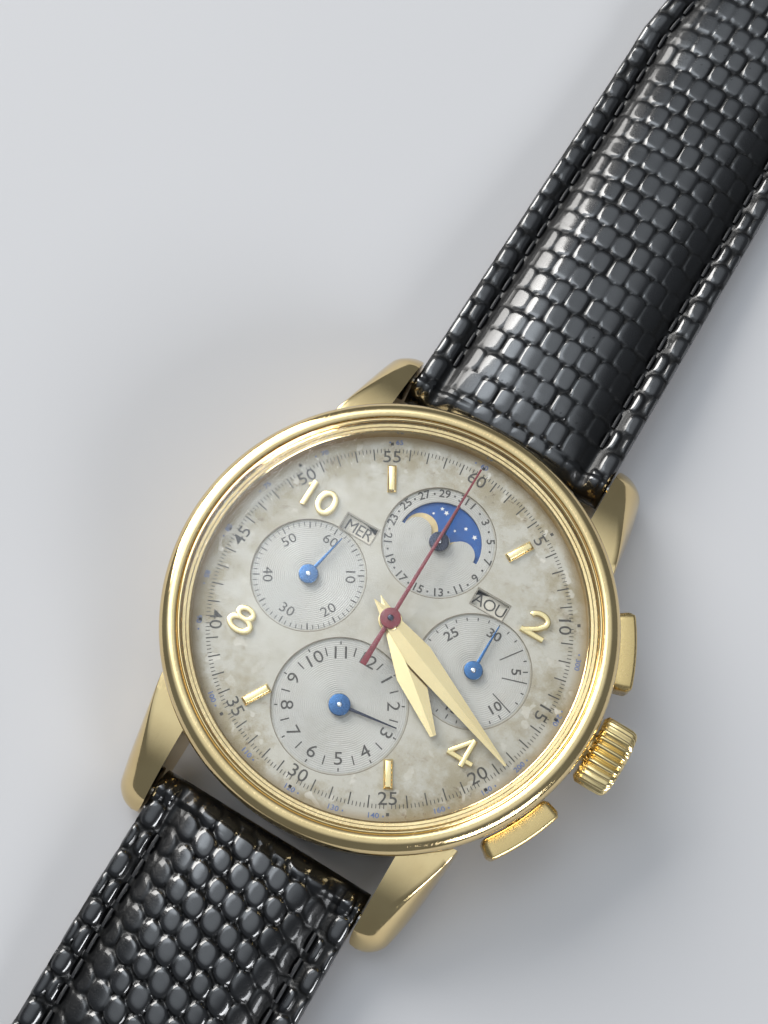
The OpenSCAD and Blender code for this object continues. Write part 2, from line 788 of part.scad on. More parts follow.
module date_hand() color(blue_steel) {
    translate([date_pos[0], date_pos[1], 0])
        hand([[-0.16, -0.6], [0.16, -0.6], [0.16, 0.8], [0.05, 3.5], [-0.05, 3.5], [-0.16, 0.8]],
             0.8, 7.95, 0.1, 8.15, 0.205);
}

// ---------- strap ----------

// Outlines are drawn for the half on the +Y side, y along the strap and z up
upper_top = [
    [20.3, 5], [23, 5.35], [28, 5.3], [36, 4.8], [46, 4], [58, 3.3], [70, 3.25],
    [buckle_y, keeper_lift + 2.2]
];
upper_bottom = [[buckle_y, keeper_lift], [71, keeper_lift], [67, 0], [30, 0], [25, 0.4], [20.3, 1]];
lower_top = [
    [20.3, 5], [23, 5.25], [28, 5.1], [36, 4.4], [48, 3.2], [62, 2.5], [tip_y, 2.1]
];
lower_bottom = [[tip_y, 0], [30, 0], [25, 0.4], [20.3, 1]];

// The lug end is a loop round its spring bar
bar_loop = arc([bar_y, bar_z], bar_loop_r, 260, 100, 12);
buckle_loop = arc([buckle_y, keeper_lift + 1.1], 1.1, 80, -80, 8);

// Margins lie below the padded middle
function lowered(points, drop) = [for (p = points) [p[0], p[1] - drop * min(1, (p[1] - 2) / 3)]];

// Half widths along the upper half: full width, a taper, then the buckle's width
function upper_half_plan(inset) = [
    [strap_w / 2 - inset, 0], [strap_w / 2 - inset, 58], [buckle_w / 2 - inset, 70],
    [buckle_w / 2 - inset, buckle_y + 5], [-buckle_w / 2 + inset, buckle_y + 5],
    [-buckle_w / 2 + inset, 70], [-strap_w / 2 + inset, 58], [-strap_w / 2 + inset, 0]
];

// Along the lower half: a taper to the buckle's width, then a pointed tip
function lower_half_plan(inset) = concat(
    [[-strap_w / 2 + inset, 0], [strap_w / 2 - inset, 0], [strap_w / 2 - inset, 30],
     [buckle_w / 2 - inset, tip_y - 12]],
    [for (i = [0:10]) let (t = i / 10)
        [(buckle_w / 2 - inset) * cos(90 * t), tip_y - 12 + (12 - inset) * sin(90 * t)]],
    [for (i = [9:-1:0]) let (t = i / 10)
        [-(buckle_w / 2 - inset) * cos(90 * t), tip_y - 12 + (12 - inset) * sin(90 * t)]],
    [[-strap_w / 2 + inset, 30]]);

module strap_layer(plan, side_outline) {
    intersection() {
        linear_extrude(8) polygon(plan);
        translate([-12, 0, 0]) rotate([90, 0, 90]) linear_extrude(24) polygon(side_outline);
    }
}

module upper_strap() color(leather) {
    difference() {
        union() {
            strap_layer(upper_half_plan(0),
                concat(bar_loop, lowered(upper_top, 1.3), buckle_loop, upper_bottom));
            strap_layer(upper_half_plan(margin_w),
                concat(bar_loop, upper_top, buckle_loop, upper_bottom));
        }
        translate([-12, bar_y, bar_z]) rotate([0, 90, 0]) cylinder(r = bar_r + 0.06, h = 24);
        translate([-12, buckle_y, buckle_z - 0.15]) rotate([0, 90, 0]) cylinder(r = 0.62, h = 24);
        translate([-1.2, buckle_y - 2.6, 0]) cube([2.4, 6, 6]);
    }
}

module lower_strap() color(leather) {
    mirror([0, 1, 0]) difference() {
        union() {
            strap_layer(lower_half_plan(0),
                concat(bar_loop, lowered(lower_top, 1.3), lower_bottom));
            strap_layer(lower_half_plan(margin_w), concat(bar_loop, lower_top, lower_bottom));
        }
        translate([-12, bar_y, bar_z]) rotate([0, 90, 0]) cylinder(r = bar_r + 0.06, h = 24);
        for (i = [0:strap_holes - 1])
            translate([0, tip_y - 24 - i * hole_pitch, -1]) cylinder(r = hole_r, h = 8);
    }
}

keeper_in = buckle_w / 2 + 0.25;

// Loop of leather round the strap, standing on z = 0
module keeper(y, w) {
    translate([0, y + w / 2, 0]) rotate([90, 0, 0]) difference() {
        linear_extrude(w) polygon(round_rect([0, 3.4], 2 * keeper_in + 2, 6.8, 1.5));
        translate([0, 0, -1]) linear_extrude(w + 2)
            polygon(round_rect([0, 3.4], 2 * keeper_in, 4.8, 0.6));
    }
}

module fixed_keeper() color(leather) keeper(89.5, 4);

module sliding_keeper() color(leather) keeper(81.5, 4);

// ---------- buckle ----------

rail_y = buckle_y + 9;
buckle_in = buckle_w / 2 + 0.3;
buckle_bar_z = buckle_z - 0.15;

module buckle_frame() color(gold) {
    for (side = [-1, 1])
        translate([side * (buckle_in + 0.75) - 0.75, 0, 0]) rotate([90, 0, 90])
            linear_extrude(1.5) polygon(concat(
                arc([buckle_y, buckle_bar_z], 1.15, 90, 270, 8),
                [[rail_y, 0], [rail_y + 1, 0]],
                arc([rail_y, 1], 1, 0, 90, 5)));
    translate([-buckle_in - 1, rail_y, 0.98]) rotate([0, 90, 0])
        cylinder(r = 0.9, h = 2 * buckle_in + 2);
    translate([-buckle_in - 1, buckle_y, buckle_bar_z]) rotate([0, 90, 0])
        cylinder(r = 0.55, h = 2 * buckle_in + 2);
}

module buckle_tongue() color(gold) {
    difference() {
        translate([-0.8, 0, 0]) rotate([90, 0, 90]) linear_extrude(1.6) polygon(concat(
            arc([buckle_y, buckle_bar_z], 1.1, 60, 320, 12),
            [[buckle_y + 1.6, 1.75], [rail_y - 1.3, 2.05], [rail_y + 0.9, 2.05],
             [rail_y + 1.1, 2.35], [rail_y + 0.4, 2.75], [buckle_y + 3, 2.9]]));
        translate([-2, buckle_y, buckle_bar_z]) rotate([0, 90, 0]) cylinder(r = 0.62, h = 4);
    }
}

// ---------- drawing ----------

mid_case();
bezel();
crystal();
case_back();
case_tubes();
spring_bars();
movement_ring();
dial();
hour_markers();
main_plate();
barrel_bridge();
train_bridge();
balance_cock();
chronograph_bridge();
movement_screws();
jewels();
crown();
winding_stem();
crown_seal();
winding_pinion();
crown_wheel();
ratchet_wheel();
mainspring_barrel();
center_wheel();
third_wheel();
fourth_wheel();
escape_wheel();
pallet_fork();
balance_wheel();
hairspring();
minute_wheel();
hour_wheel();
hour_hand();
minute_hand();
chronograph_wheel();
chronograph_seconds_hand();
small_seconds_hand();
minute_recorder_wheel();
minute_recorder_hand();
hour_recorder_wheel();
hour_recorder_hand();
date_wheel();
date_hand();
moon_disc();
day_disc();
month_disc();
column_wheel();
coupling_lever();
reset_hammer();
start_pusher();
reset_pusher();
date_corrector();
day_corrector();
moon_corrector();
upper_strap();
lower_strap();
fixed_keeper();
sliding_keeper();
buckle_frame();
buckle_tongue();
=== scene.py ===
# %% [markdown]
# # A chronograph wristwatch
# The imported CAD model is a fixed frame: it holds every part that moves or fits. This lesson adds the looks
# around it. Each step says what the piece is on the real watch, how it could be made, and why this way was
# chosen. Shapes are drawn in millimetres and scaled to metres when a piece is finished.

# %% Load the frame
import math

import bmesh
import bpy
import numpy as np
from mathutils import Matrix, Vector


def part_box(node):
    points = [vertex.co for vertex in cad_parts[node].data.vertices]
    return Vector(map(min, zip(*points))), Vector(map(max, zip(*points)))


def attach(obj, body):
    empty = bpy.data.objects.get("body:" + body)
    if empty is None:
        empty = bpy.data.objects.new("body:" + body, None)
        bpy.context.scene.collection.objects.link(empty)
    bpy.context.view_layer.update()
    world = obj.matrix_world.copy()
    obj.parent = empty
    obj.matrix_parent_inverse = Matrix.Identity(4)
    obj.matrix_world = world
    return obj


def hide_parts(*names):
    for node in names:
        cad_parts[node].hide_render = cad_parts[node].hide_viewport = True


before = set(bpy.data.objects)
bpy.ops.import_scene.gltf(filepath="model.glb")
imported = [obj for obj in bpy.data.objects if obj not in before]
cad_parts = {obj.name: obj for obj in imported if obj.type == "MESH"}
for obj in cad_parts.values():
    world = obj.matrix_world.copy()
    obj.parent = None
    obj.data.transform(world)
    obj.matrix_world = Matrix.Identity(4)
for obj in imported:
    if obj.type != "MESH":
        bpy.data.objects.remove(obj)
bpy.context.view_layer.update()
MM = 0.001

# %% [markdown]
# ## Camera
# The view is a close one from above, a hand's breadth over the dial, leaning back from 6 o'clock. Its place and
# turn were solved from the watch's own proportions, so the camera is given by its three axes and not by a target.

# %% Camera
CAMERA_AT = Vector((10.985, -23.452, 120.854)) * MM
CAMERA_RIGHT = Vector((0.85869, 0.51216, 0.01860))
CAMERA_FORWARD = Vector((-0.13557, 0.26199, -0.95550))
LENS_MM = 51.75

camera_data = bpy.data.cameras.new("view_camera")
camera_data.lens = LENS_MM
camera_data.sensor_width = 36
camera_data.clip_start = 0.005
camera = bpy.data.objects.new("view_camera", camera_data)
bpy.context.scene.collection.objects.link(camera)
camera_back = -CAMERA_FORWARD.normalized()
camera_up = camera_back.cross(CAMERA_RIGHT).normalized()
turn = Matrix((camera_up.cross(camera_back), camera_up, camera_back)).transposed()
camera.matrix_world = Matrix.Translation(CAMERA_AT) @ turn.to_4x4()
bpy.context.scene.camera = camera
print("camera height, mm", round(CAMERA_AT.z / MM, 1))

# %% [markdown]
# ## Measures shared with the CAD
# Heights and radii come from the frame where a node shows them, and the rest are the watch's own dimensions.

# %% Measures
DIAL_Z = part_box("hour_markers")[0].z / MM
DISC_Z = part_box("day_disc")[1].z / MM
SUBDIAL_Z = DIAL_Z - 0.15
BEZEL_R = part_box("bezel")[1].x / MM
OPEN_R = 15.5
CRYSTAL_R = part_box("crystal")[1].x / MM
CRYSTAL_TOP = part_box("crystal")[1].z / MM
BAR_Y, BAR_Z = 20.3, 3.0
STEM_Z = 5.1
DATE = Vector((0, 7.64))
HOURS = Vector((0, -7.64))
SECONDS = Vector((-7.52, 0))
MINUTES = Vector((7.52, 0))
MINUTE_ANGLE, HOUR_ANGLE = 111.6, 129.3
SECONDS_ANGLE, RECORDER_ANGLE = 11, 81.6
print("dial height", round(DIAL_Z, 2), "bezel radius", round(BEZEL_R, 2))

# %% [markdown]
# ## Mesh helpers
# A watch is mostly turned, stamped or drawn through a shape, so four helpers cover it: a lathe, a stamped
# plate, a wrapped grid for forms that flow, and a swept wire. One more turns a finished bmesh into a piece
# that rides on its body.


# %% Finish a piece
def finish_piece(name, bm, materials, body, replaces=(), sharp=35):
    bmesh.ops.scale(bm, vec=(MM, MM, MM), verts=bm.verts)
    mesh = bpy.data.meshes.new(name)
    bm.to_mesh(mesh)
    bm.free()
    for material in materials if isinstance(materials, (list, tuple)) else [materials]:
        mesh.materials.append(material)
    mesh.shade_smooth()
    mesh.set_sharp_from_angle(angle=math.radians(sharp))
    piece = bpy.data.objects.new(name, mesh)
    bpy.context.scene.collection.objects.link(piece)
    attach(piece, body)
    if replaces:
        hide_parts(*replaces)
    print(f"{name}: {len(mesh.polygons)} faces")
    return piece


# %% Arcs and clock places
def arc(cx, cz, radius, start, end, count=10):
    angles = [math.radians(start + (end - start) * i / count) for i in range(count + 1)]
    return [(cx + radius * math.cos(a), cz + radius * math.sin(a)) for a in angles]


def clock(angle, radius, centre=Vector((0, 0))):
    a = math.radians(angle)
    return Vector((centre[0] + radius * math.sin(a), centre[1] + radius * math.cos(a)))


def clock_matrix(angle, centre=(0, 0), z=0.0):
    return Matrix.Translation((centre[0], centre[1], z)) @ Matrix.Rotation(-math.radians(angle), 4, "Z")


# %% Lathe
def lathe(profile, steps=192, closed=True):
    bm = bmesh.new()
    verts = [bm.verts.new((r, 0, z)) for r, z in profile]
    edges = [bm.edges.new(pair) for pair in zip(verts, verts[1:])]
    if closed:
        edges.append(bm.edges.new((verts[-1], verts[0])))
    bmesh.ops.spin(bm, geom=verts + edges, cent=(0, 0, 0), axis=(0, 0, 1), angle=math.tau, steps=steps,
                   use_merge=True)
    bmesh.ops.remove_doubles(bm, verts=bm.verts, dist=1e-4)
    bmesh.ops.recalc_face_normals(bm, faces=bm.faces)
    return bm


# %% Stamped plate
def plate(outline, z, height, bevel=0.0, segments=2):
    bm = bmesh.new()
    face = bm.faces.new([bm.verts.new((x, y, z)) for x, y in outline])
    raised = bmesh.ops.extrude_face_region(bm, geom=[face])["geom"]
    top = [v for v in raised if isinstance(v, bmesh.types.BMVert)]
    bmesh.ops.translate(bm, vec=(0, 0, height), verts=top)
    bmesh.ops.recalc_face_normals(bm, faces=bm.faces)
    if bevel:
        rim = [e for e in bm.edges if all(v in top for v in e.verts)]
        bmesh.ops.bevel(bm, geom=rim, offset=bevel, segments=segments, affect="EDGES", profile=0.5,
                        material=-1)
    return bm


# %% Wrapped grid
def wrapped_grid(around, along, place, loop=False):
    """A closed form: a grid is rolled up along its first side and every point is put by place(i, j)."""
    bm = bmesh.new()
    bmesh.ops.create_grid(bm, x_segments=around, y_segments=along, size=0.5)
    for vert in bm.verts:
        i = round((vert.co.x + 0.5) * around)
        j = round((vert.co.y + 0.5) * along)
        vert.co = place(i % around, j % along if loop else j)
    bmesh.ops.remove_doubles(bm, verts=bm.verts, dist=1e-4)
    open_edges = [e for e in bm.edges if e.is_boundary]
    if open_edges:
        bmesh.ops.holes_fill(bm, edges=open_edges, sides=0)
    bmesh.ops.recalc_face_normals(bm, faces=bm.faces)
    return bm


# %% Swept wire and joined parts
def wire(path, radius, resolution=3, closed=False, flatten=1.0):
    """A round or flattened wire along a path of points, as a bmesh."""
    curve = bpy.data.curves.new("wire", "CURVE")
    curve.dimensions = "3D"
    curve.bevel_depth = radius
    curve.bevel_resolution = resolution
    curve.use_fill_caps = True
    spline = curve.splines.new("POLY")
    spline.points.add(len(path) - 1)
    for point, place in zip(spline.points, path):
        point.co = (*place, 1)
    spline.use_cyclic_u = closed
    holder = bpy.data.objects.new("wire", curve)
    mesh = bpy.data.meshes.new_from_object(holder)
    bm = bmesh.new()
    bm.from_mesh(mesh)
    bmesh.ops.scale(bm, vec=(1, 1, flatten), verts=bm.verts)
    bmesh.ops.remove_doubles(bm, verts=bm.verts, dist=1e-5)
    bmesh.ops.recalc_face_normals(bm, faces=bm.faces)
    bpy.data.objects.remove(holder)
    bpy.data.curves.remove(curve)
    bpy.data.meshes.remove(mesh)
    return bm


def join(*parts, slots=None):
    """Several bmeshes in one; slots gives each its material number."""
    whole = bmesh.new()
    for number, part in enumerate(parts):
        if slots:
            for face in part.faces:
                face.material_index = slots[number]
        mesh = bpy.data.meshes.new("part")
        part.to_mesh(mesh)
        part.free()
        whole.from_mesh(mesh)
        bpy.data.meshes.remove(mesh)
    return whole


def moved(bm, matrix):
    bmesh.ops.transform(bm, matrix=matrix, verts=bm.verts)
    if matrix.determinant() < 0:
        bmesh.ops.reverse_faces(bm, faces=bm.faces)
    return bm


# %% [markdown]
# ## Shared shader groups
# Polished metal, lacquer and leather all show the same few effects: hairline scratches, a slow drift of tone and
# a fine grain. Each is one group, built once and placed in every material that needs it with its own values.


# %% Node helpers
def new_group(name, inputs, outputs):
    group = bpy.data.node_groups.new(name, "ShaderNodeTree")
    for label, default in inputs:
        socket = group.interface.new_socket(label, in_out="INPUT", socket_type="NodeSocketFloat")
        socket.default_value = default
    for label, kind in outputs:
        group.interface.new_socket(label, in_out="OUTPUT", socket_type=kind)
    return group, group.nodes.new("NodeGroupInput"), group.nodes.new("NodeGroupOutput")


def math_node(tree, operation, first, second=None, third=None):
    node = tree.nodes.new("ShaderNodeMath")
    node.operation = operation
    for number, value in enumerate((first, second, third)):
        if value is None:
            continue
        if isinstance(value, (int, float)):
            node.inputs[number].default_value = value
        else:
            tree.links.new(value, node.inputs[number])
    return node.outputs[0]


def noise(tree, vector, scale, detail=4.0, roughness=0.55):
    node = tree.nodes.new("ShaderNodeTexNoise")
    node.inputs["Detail"].default_value = detail
    node.inputs["Roughness"].default_value = roughness
    tree.links.new(vector, node.inputs["Vector"])
    if isinstance(scale, (int, float)):
        node.inputs["Scale"].default_value = scale
    else:
        tree.links.new(scale, node.inputs["Scale"])
    return node.outputs["Fac"]


def stretched(tree, vector, factors, angle=0.0):
    node = tree.nodes.new("ShaderNodeMapping")
    node.inputs["Scale"].default_value = factors
    node.inputs["Rotation"].default_value = (0, 0, angle)
    tree.links.new(vector, node.inputs["Vector"])
    return node.outputs[0]


def ramp(tree, value, low, high, a=0.0, b=1.0):
    node = tree.nodes.new("ShaderNodeMapRange")
    node.inputs["From Min"].default_value = low
    node.inputs["From Max"].default_value = high
    node.inputs["To Min"].default_value = a
    node.inputs["To Max"].default_value = b
    tree.links.new(value, node.inputs["Value"])
    return node.outputs["Result"]


def mix_colour(tree, factor, first, second):
    node = tree.nodes.new("ShaderNodeMix")
    node.data_type = "RGBA"
    tree.links.new(factor, node.inputs["Factor"])
    for socket, value in ((node.inputs[6], first), (node.inputs[7], second)):
        if isinstance(value, (tuple, list)):
            socket.default_value = (*value, 1)
        else:
            tree.links.new(value, socket)
    return node.outputs[2]


def coordinates(tree):
    return tree.nodes.new("ShaderNodeTexCoord").outputs["Object"]


# %% Hairline scratches
scratch_group, enter, leave = new_group(
    "hairline_scratches", [("Density", 900.0)], [("Mask", "NodeSocketFloat"), ("Height", "NodeSocketFloat")])
where = coordinates(scratch_group)
layers = []
for angle, lean in ((0.4, 30), (1.7, 24), (2.6, 36)):
    lines = noise(scratch_group, stretched(scratch_group, where, (lean, 1, 1), angle),
                  enter.outputs["Density"], 3.0, 0.6)
    layers.append(ramp(scratch_group, lines, 0.62, 0.75))
union = math_node(scratch_group, "MAXIMUM", math_node(scratch_group, "MAXIMUM", *layers[:2]), layers[2])
scratch_group.links.new(union, leave.inputs["Mask"])
scratch_group.links.new(math_node(scratch_group, "MULTIPLY", union, -1.0), leave.inputs["Height"])

# %% Slow drift of tone
drift_group, enter, leave = new_group(
    "tone_drift", [("Scale", 120.0), ("Fine Scale", 900.0)],
    [("Broad", "NodeSocketFloat"), ("Fine", "NodeSocketFloat")])
where = coordinates(drift_group)
broad = noise(drift_group, where, enter.outputs["Scale"], 3.0)
fine = noise(drift_group, where, enter.outputs["Fine Scale"], 6.0, 0.65)
drift_group.links.new(ramp(drift_group, broad, 0.3, 0.7), leave.inputs["Broad"])
drift_group.links.new(ramp(drift_group, fine, 0.3, 0.7), leave.inputs["Fine"])

# %% Leather grain
grain_group, enter, leave = new_group(
    "leather_grain", [("Scale", 2600.0)], [("Height", "NodeSocketFloat"), ("Pores", "NodeSocketFloat")])
where = coordinates(grain_group)
cells = grain_group.nodes.new("ShaderNodeTexVoronoi")
cells.feature = "DISTANCE_TO_EDGE"
grain_group.links.new(where, cells.inputs["Vector"])
grain_group.links.new(enter.outputs["Scale"], cells.inputs["Scale"])
creases = ramp(grain_group, cells.outputs["Distance"], 0.0, 0.12)
ripple = noise(grain_group, where, math_node(grain_group, "MULTIPLY", enter.outputs["Scale"], 1.7), 5.0)
height = math_node(grain_group, "ADD", math_node(grain_group, "MULTIPLY", creases, 0.5), ripple)
grain_group.links.new(height, leave.inputs["Height"])
grain_group.links.new(creases, leave.inputs["Pores"])


# %% A material with its own nodes
def new_material(name, **values):
    material = bpy.data.materials.new(name)
    material.use_nodes = True
    tree = material.node_tree
    shader = tree.nodes["Principled BSDF"]
    for label, value in values.items():
        socket = shader.inputs[label.replace("_", " ")]
        socket.default_value = (*value, 1) if isinstance(value, tuple) and len(value) == 3 else value
    return material, tree, shader


def use_group(tree, group, **values):
    node = tree.nodes.new("ShaderNodeGroup")
    node.node_tree = group
    for label, value in values.items():
        node.inputs[label.replace("_", " ")].default_value = value
    return node


def bump(tree, shader, height, strength, distance):
    node = tree.nodes.new("ShaderNodeBump")
    node.inputs["Strength"].default_value = strength
    node.inputs["Distance"].default_value = distance
    tree.links.new(height, node.inputs["Height"])
    tree.links.new(node.outputs[0], shader.inputs["Normal"])


# %% [markdown]
# ## Metals
# Polished gold is a mirror with a colour, so what makes it look real is what it reflects, and after that the
# faint hairlines and the slightly darker, redder tone where years of handling have dulled it. One function makes
# every metal: it takes the clean and the dulled colour, the roughness range and the strength of the scratches.


# %% Metal maker
def metal(name, clean, dulled, rough=(0.08, 0.2), scratch=0.25, density=900.0, brushed=None):
    material, tree, shader = new_material(name, Metallic=1.0)
    drift = use_group(tree, drift_group, Scale=180.0, Fine_Scale=1500.0)
    marks = use_group(tree, scratch_group, Density=density)
    tone = math_node(tree, "MULTIPLY", drift.outputs["Broad"], 0.55)
    tree.links.new(mix_colour(tree, tone, clean, dulled), shader.inputs["Base Color"])
    worn = math_node(tree, "MULTIPLY_ADD", drift.outputs["Fine"], rough[1] - rough[0], rough[0])
    worn = math_node(tree, "MULTIPLY_ADD", marks.outputs["Mask"], scratch * 0.25, worn)
    tree.links.new(worn, shader.inputs["Roughness"])
    height = marks.outputs["Height"]
    if brushed:
        lines = noise(tree, stretched(tree, coordinates(tree), brushed), 500.0, 5.0, 0.7)
        height = math_node(tree, "ADD", math_node(tree, "MULTIPLY", height, 0.3), lines)
    bump(tree, shader, height, scratch, 0.00001)
    return material


# %% Golds, steels and plates
case_gold = metal("case_gold", (0.81, 0.64, 0.34), (0.60, 0.43, 0.20), (0.05, 0.12), 0.16)
pusher_gold = metal("pusher_gold", (0.72, 0.55, 0.26), (0.62, 0.45, 0.19), (0.2, 0.3), 0.25, 1200.0,
                    (1, 26, 1))
crown_gold = metal("crown_gold", (0.88, 0.71, 0.37), (0.72, 0.54, 0.24), (0.14, 0.26), 0.2)
marker_gold = metal("marker_gold", (0.97, 0.80, 0.42), (0.90, 0.71, 0.33), (0.12, 0.2), 0.1, 1600.0)
hand_gold = metal("hand_gold", (0.87, 0.71, 0.39), (0.80, 0.62, 0.31), (0.16, 0.24), 0.12, 1800.0)
blued_steel = metal("blued_steel", (0.06, 0.15, 0.31), (0.04, 0.09, 0.2), (0.2, 0.36), 0.3, 2500.0)
needle_steel = metal("needle_steel", (0.07, 0.075, 0.10), (0.03, 0.035, 0.05), (0.2, 0.35), 0.2, 2500.0)
pin_steel = metal("pin_steel", (0.75, 0.76, 0.78), (0.55, 0.56, 0.58), (0.12, 0.22), 0.2, 2500.0)
polished_steel = metal("polished_steel", (0.62, 0.63, 0.65), (0.45, 0.46, 0.48), (0.14, 0.3), 0.3)
gilt_brass = metal("gilt_brass", (0.82, 0.66, 0.36), (0.68, 0.50, 0.25), (0.18, 0.34), 0.25)
rhodium_plate = metal("rhodium_plate", (0.72, 0.73, 0.75), (0.60, 0.60, 0.62), (0.2, 0.36), 0.3, 900.0,
                      (1, 22, 1))

# %% [markdown]
# ## Lacquer, print and the dial's patina
# The dial is silvered brass that has aged: a warm grey with a finely brushed centre, cloudy beige blooms, brown
# freckles near the rim and a browner edge. All of that is layered noise, weighted by the distance from the
# centre. Subdials are a cooler grey, with fine turned rings that are only bump in the lacquer.


# %% Distance from a point on the dial
def distance_to(tree, centre):
    node = tree.nodes.new("ShaderNodeVectorMath")
    node.operation = "DISTANCE"
    flat = tree.nodes.new("ShaderNodeMapping")
    flat.inputs["Scale"].default_value = (1, 1, 0)
    tree.links.new(coordinates(tree), flat.inputs["Vector"])
    tree.links.new(flat.outputs[0], node.inputs[0])
    node.inputs[1].default_value = (centre[0] * MM, centre[1] * MM, 0)
    return node.outputs["Value"]


# %% Dial lacquer
dial_lacquer, tree, shader = new_material("dial_lacquer", Metallic=0.2, Roughness=0.42)
radius = distance_to(tree, (0, 0))
where = coordinates(tree)
drift = use_group(tree, drift_group, Scale=230.0, Fine_Scale=1500.0)
rim = ramp(tree, radius, 0.0095, 0.0156)
cloud = ramp(tree, noise(tree, where, 330.0, 5.0, 0.7), 0.42, 0.62)
age = math_node(tree, "MULTIPLY", cloud, math_node(tree, "MULTIPLY_ADD", rim, 0.75, 0.38))
silver = mix_colour(tree, age, (0.42, 0.405, 0.35), (0.255, 0.215, 0.125))
silver = mix_colour(tree, math_node(tree, "MULTIPLY", drift.outputs["Fine"], 0.3), silver, (0.35, 0.335, 0.28))
spots = ramp(tree, noise(tree, where, 1500.0, 3.0, 0.75), 0.60, 0.68)
spots = math_node(tree, "MULTIPLY", spots, math_node(tree, "MULTIPLY", cloud,
                  math_node(tree, "MULTIPLY_ADD", rim, 0.75, 0.12)))
aged = mix_colour(tree, spots, silver, (0.13, 0.085, 0.04))
flakes = ramp(tree, noise(tree, where, 900.0, 2.0, 0.4), 0.63, 0.66)
flakes = math_node(tree, "MULTIPLY", flakes, math_node(tree, "MULTIPLY", rim, drift.outputs["Broad"]))
aged = mix_colour(tree, flakes, aged, (0.58, 0.56, 0.5))
edge = ramp(tree, radius, 0.0147, 0.0156)
rings = None
subdials = None
for centre, reach in ((DATE, 0.0046), (SECONDS, 0.0046), (MINUTES, 0.0046), (HOURS, 0.00535)):
    away = distance_to(tree, centre)
    wave = math_node(tree, "SINE", math_node(tree, "MULTIPLY", away, math.tau / 0.00016))
    inside = math_node(tree, "LESS_THAN", away, reach * 0.97)
    wave = math_node(tree, "MULTIPLY", wave, inside)
    rings = wave if rings is None else math_node(tree, "ADD", rings, wave)
    subdials = inside if subdials is None else math_node(tree, "MAXIMUM", subdials, inside)
aged = mix_colour(tree, math_node(tree, "MULTIPLY", subdials, 0.6), aged, (0.38, 0.38, 0.365))
tree.links.new(mix_colour(tree, edge, aged, (0.22, 0.17, 0.09)), shader.inputs["Base Color"])
surface = math_node(tree, "ADD", math_node(tree, "MULTIPLY", rings, 0.6), drift.outputs["Fine"])
bump(tree, shader, surface, 0.6, 0.000018)
rough = math_node(tree, "MULTIPLY_ADD", drift.outputs["Fine"], 0.18, 0.34)
tree.links.new(rough, shader.inputs["Roughness"])


# %% Printed and painted finishes
def lacquer(name, colour, worn, rough=0.45, coat=0.0, scale=2200.0, metallic=0.0):
    material, tree, shader = new_material(name, Roughness=rough, Coat_Weight=coat, Metallic=metallic)
    drift = use_group(tree, drift_group, Scale=scale * 0.3, Fine_Scale=scale)
    tree.links.new(mix_colour(tree, drift.outputs["Fine"], colour, worn), shader.inputs["Base Color"])
    spread = math_node(tree, "MULTIPLY_ADD", drift.outputs["Broad"], 0.15, rough - 0.07)
    tree.links.new(spread, shader.inputs["Roughness"])
    bump(tree, shader, drift.outputs["Fine"], 0.15, 0.00001)
    return material


black_print = lacquer("black_print", (0.035, 0.033, 0.03), (0.075, 0.07, 0.06), 0.6)
blue_print = lacquer("blue_print", (0.05, 0.10, 0.28), (0.12, 0.17, 0.32), 0.6)
groove_shade = lacquer("groove_shade", (0.13, 0.11, 0.08), (0.22, 0.19, 0.14), 0.5)
red_enamel = lacquer("red_enamel", (0.19, 0.012, 0.022), (0.12, 0.01, 0.016), 0.35, 0.4)
moon_blue = lacquer("moon_blue", (0.018, 0.10, 0.33), (0.012, 0.06, 0.22), 0.35, 0.3, metallic=0.2)
moon_cream = lacquer("moon_cream", (0.62, 0.50, 0.27), (0.50, 0.39, 0.2), 0.5)
star_white = lacquer("star_white", (0.75, 0.75, 0.7), (0.6, 0.6, 0.55), 0.5)
disc_white = lacquer("disc_white", (0.55, 0.52, 0.44), (0.44, 0.41, 0.34), 0.5)
window_dark = lacquer("window_dark", (0.16, 0.14, 0.11), (0.26, 0.23, 0.18), 0.4, 0.0, metallic=0.4)
seal_rubber = lacquer("seal_rubber", (0.02, 0.02, 0.02), (0.035, 0.035, 0.035), 0.7)

# %% Crystal, ruby and the glossy dark skin
crystal_acrylic, tree, shader = new_material(
    "crystal_acrylic", Base_Color=(1.0, 1.0, 1.0), Metallic=1.0, Roughness=0.02)
gloss = tree.nodes.new("ShaderNodeFresnel")
gloss.inputs["IOR"].default_value = 1.49
sides = tree.nodes.new("ShaderNodeNewGeometry")
outer = math_node(tree, "SUBTRACT", 1.0, sides.outputs["Backfacing"])
tree.links.new(math_node(tree, "MULTIPLY", gloss.outputs[0], outer), shader.inputs["Alpha"])
scuffs = use_group(tree, scratch_group, Density=700.0)
bump(tree, shader, scuffs.outputs["Height"], 0.12, 0.00001)

ruby, tree, shader = new_material("ruby", Base_Color=(0.5, 0.02, 0.08), Roughness=0.08, Coat_Weight=0.6)
drift = use_group(tree, drift_group, Scale=2000.0, Fine_Scale=6000.0)
tree.links.new(mix_colour(tree, drift.outputs["Broad"], (0.5, 0.02, 0.08), (0.7, 0.06, 0.16)),
               shader.inputs["Base Color"])
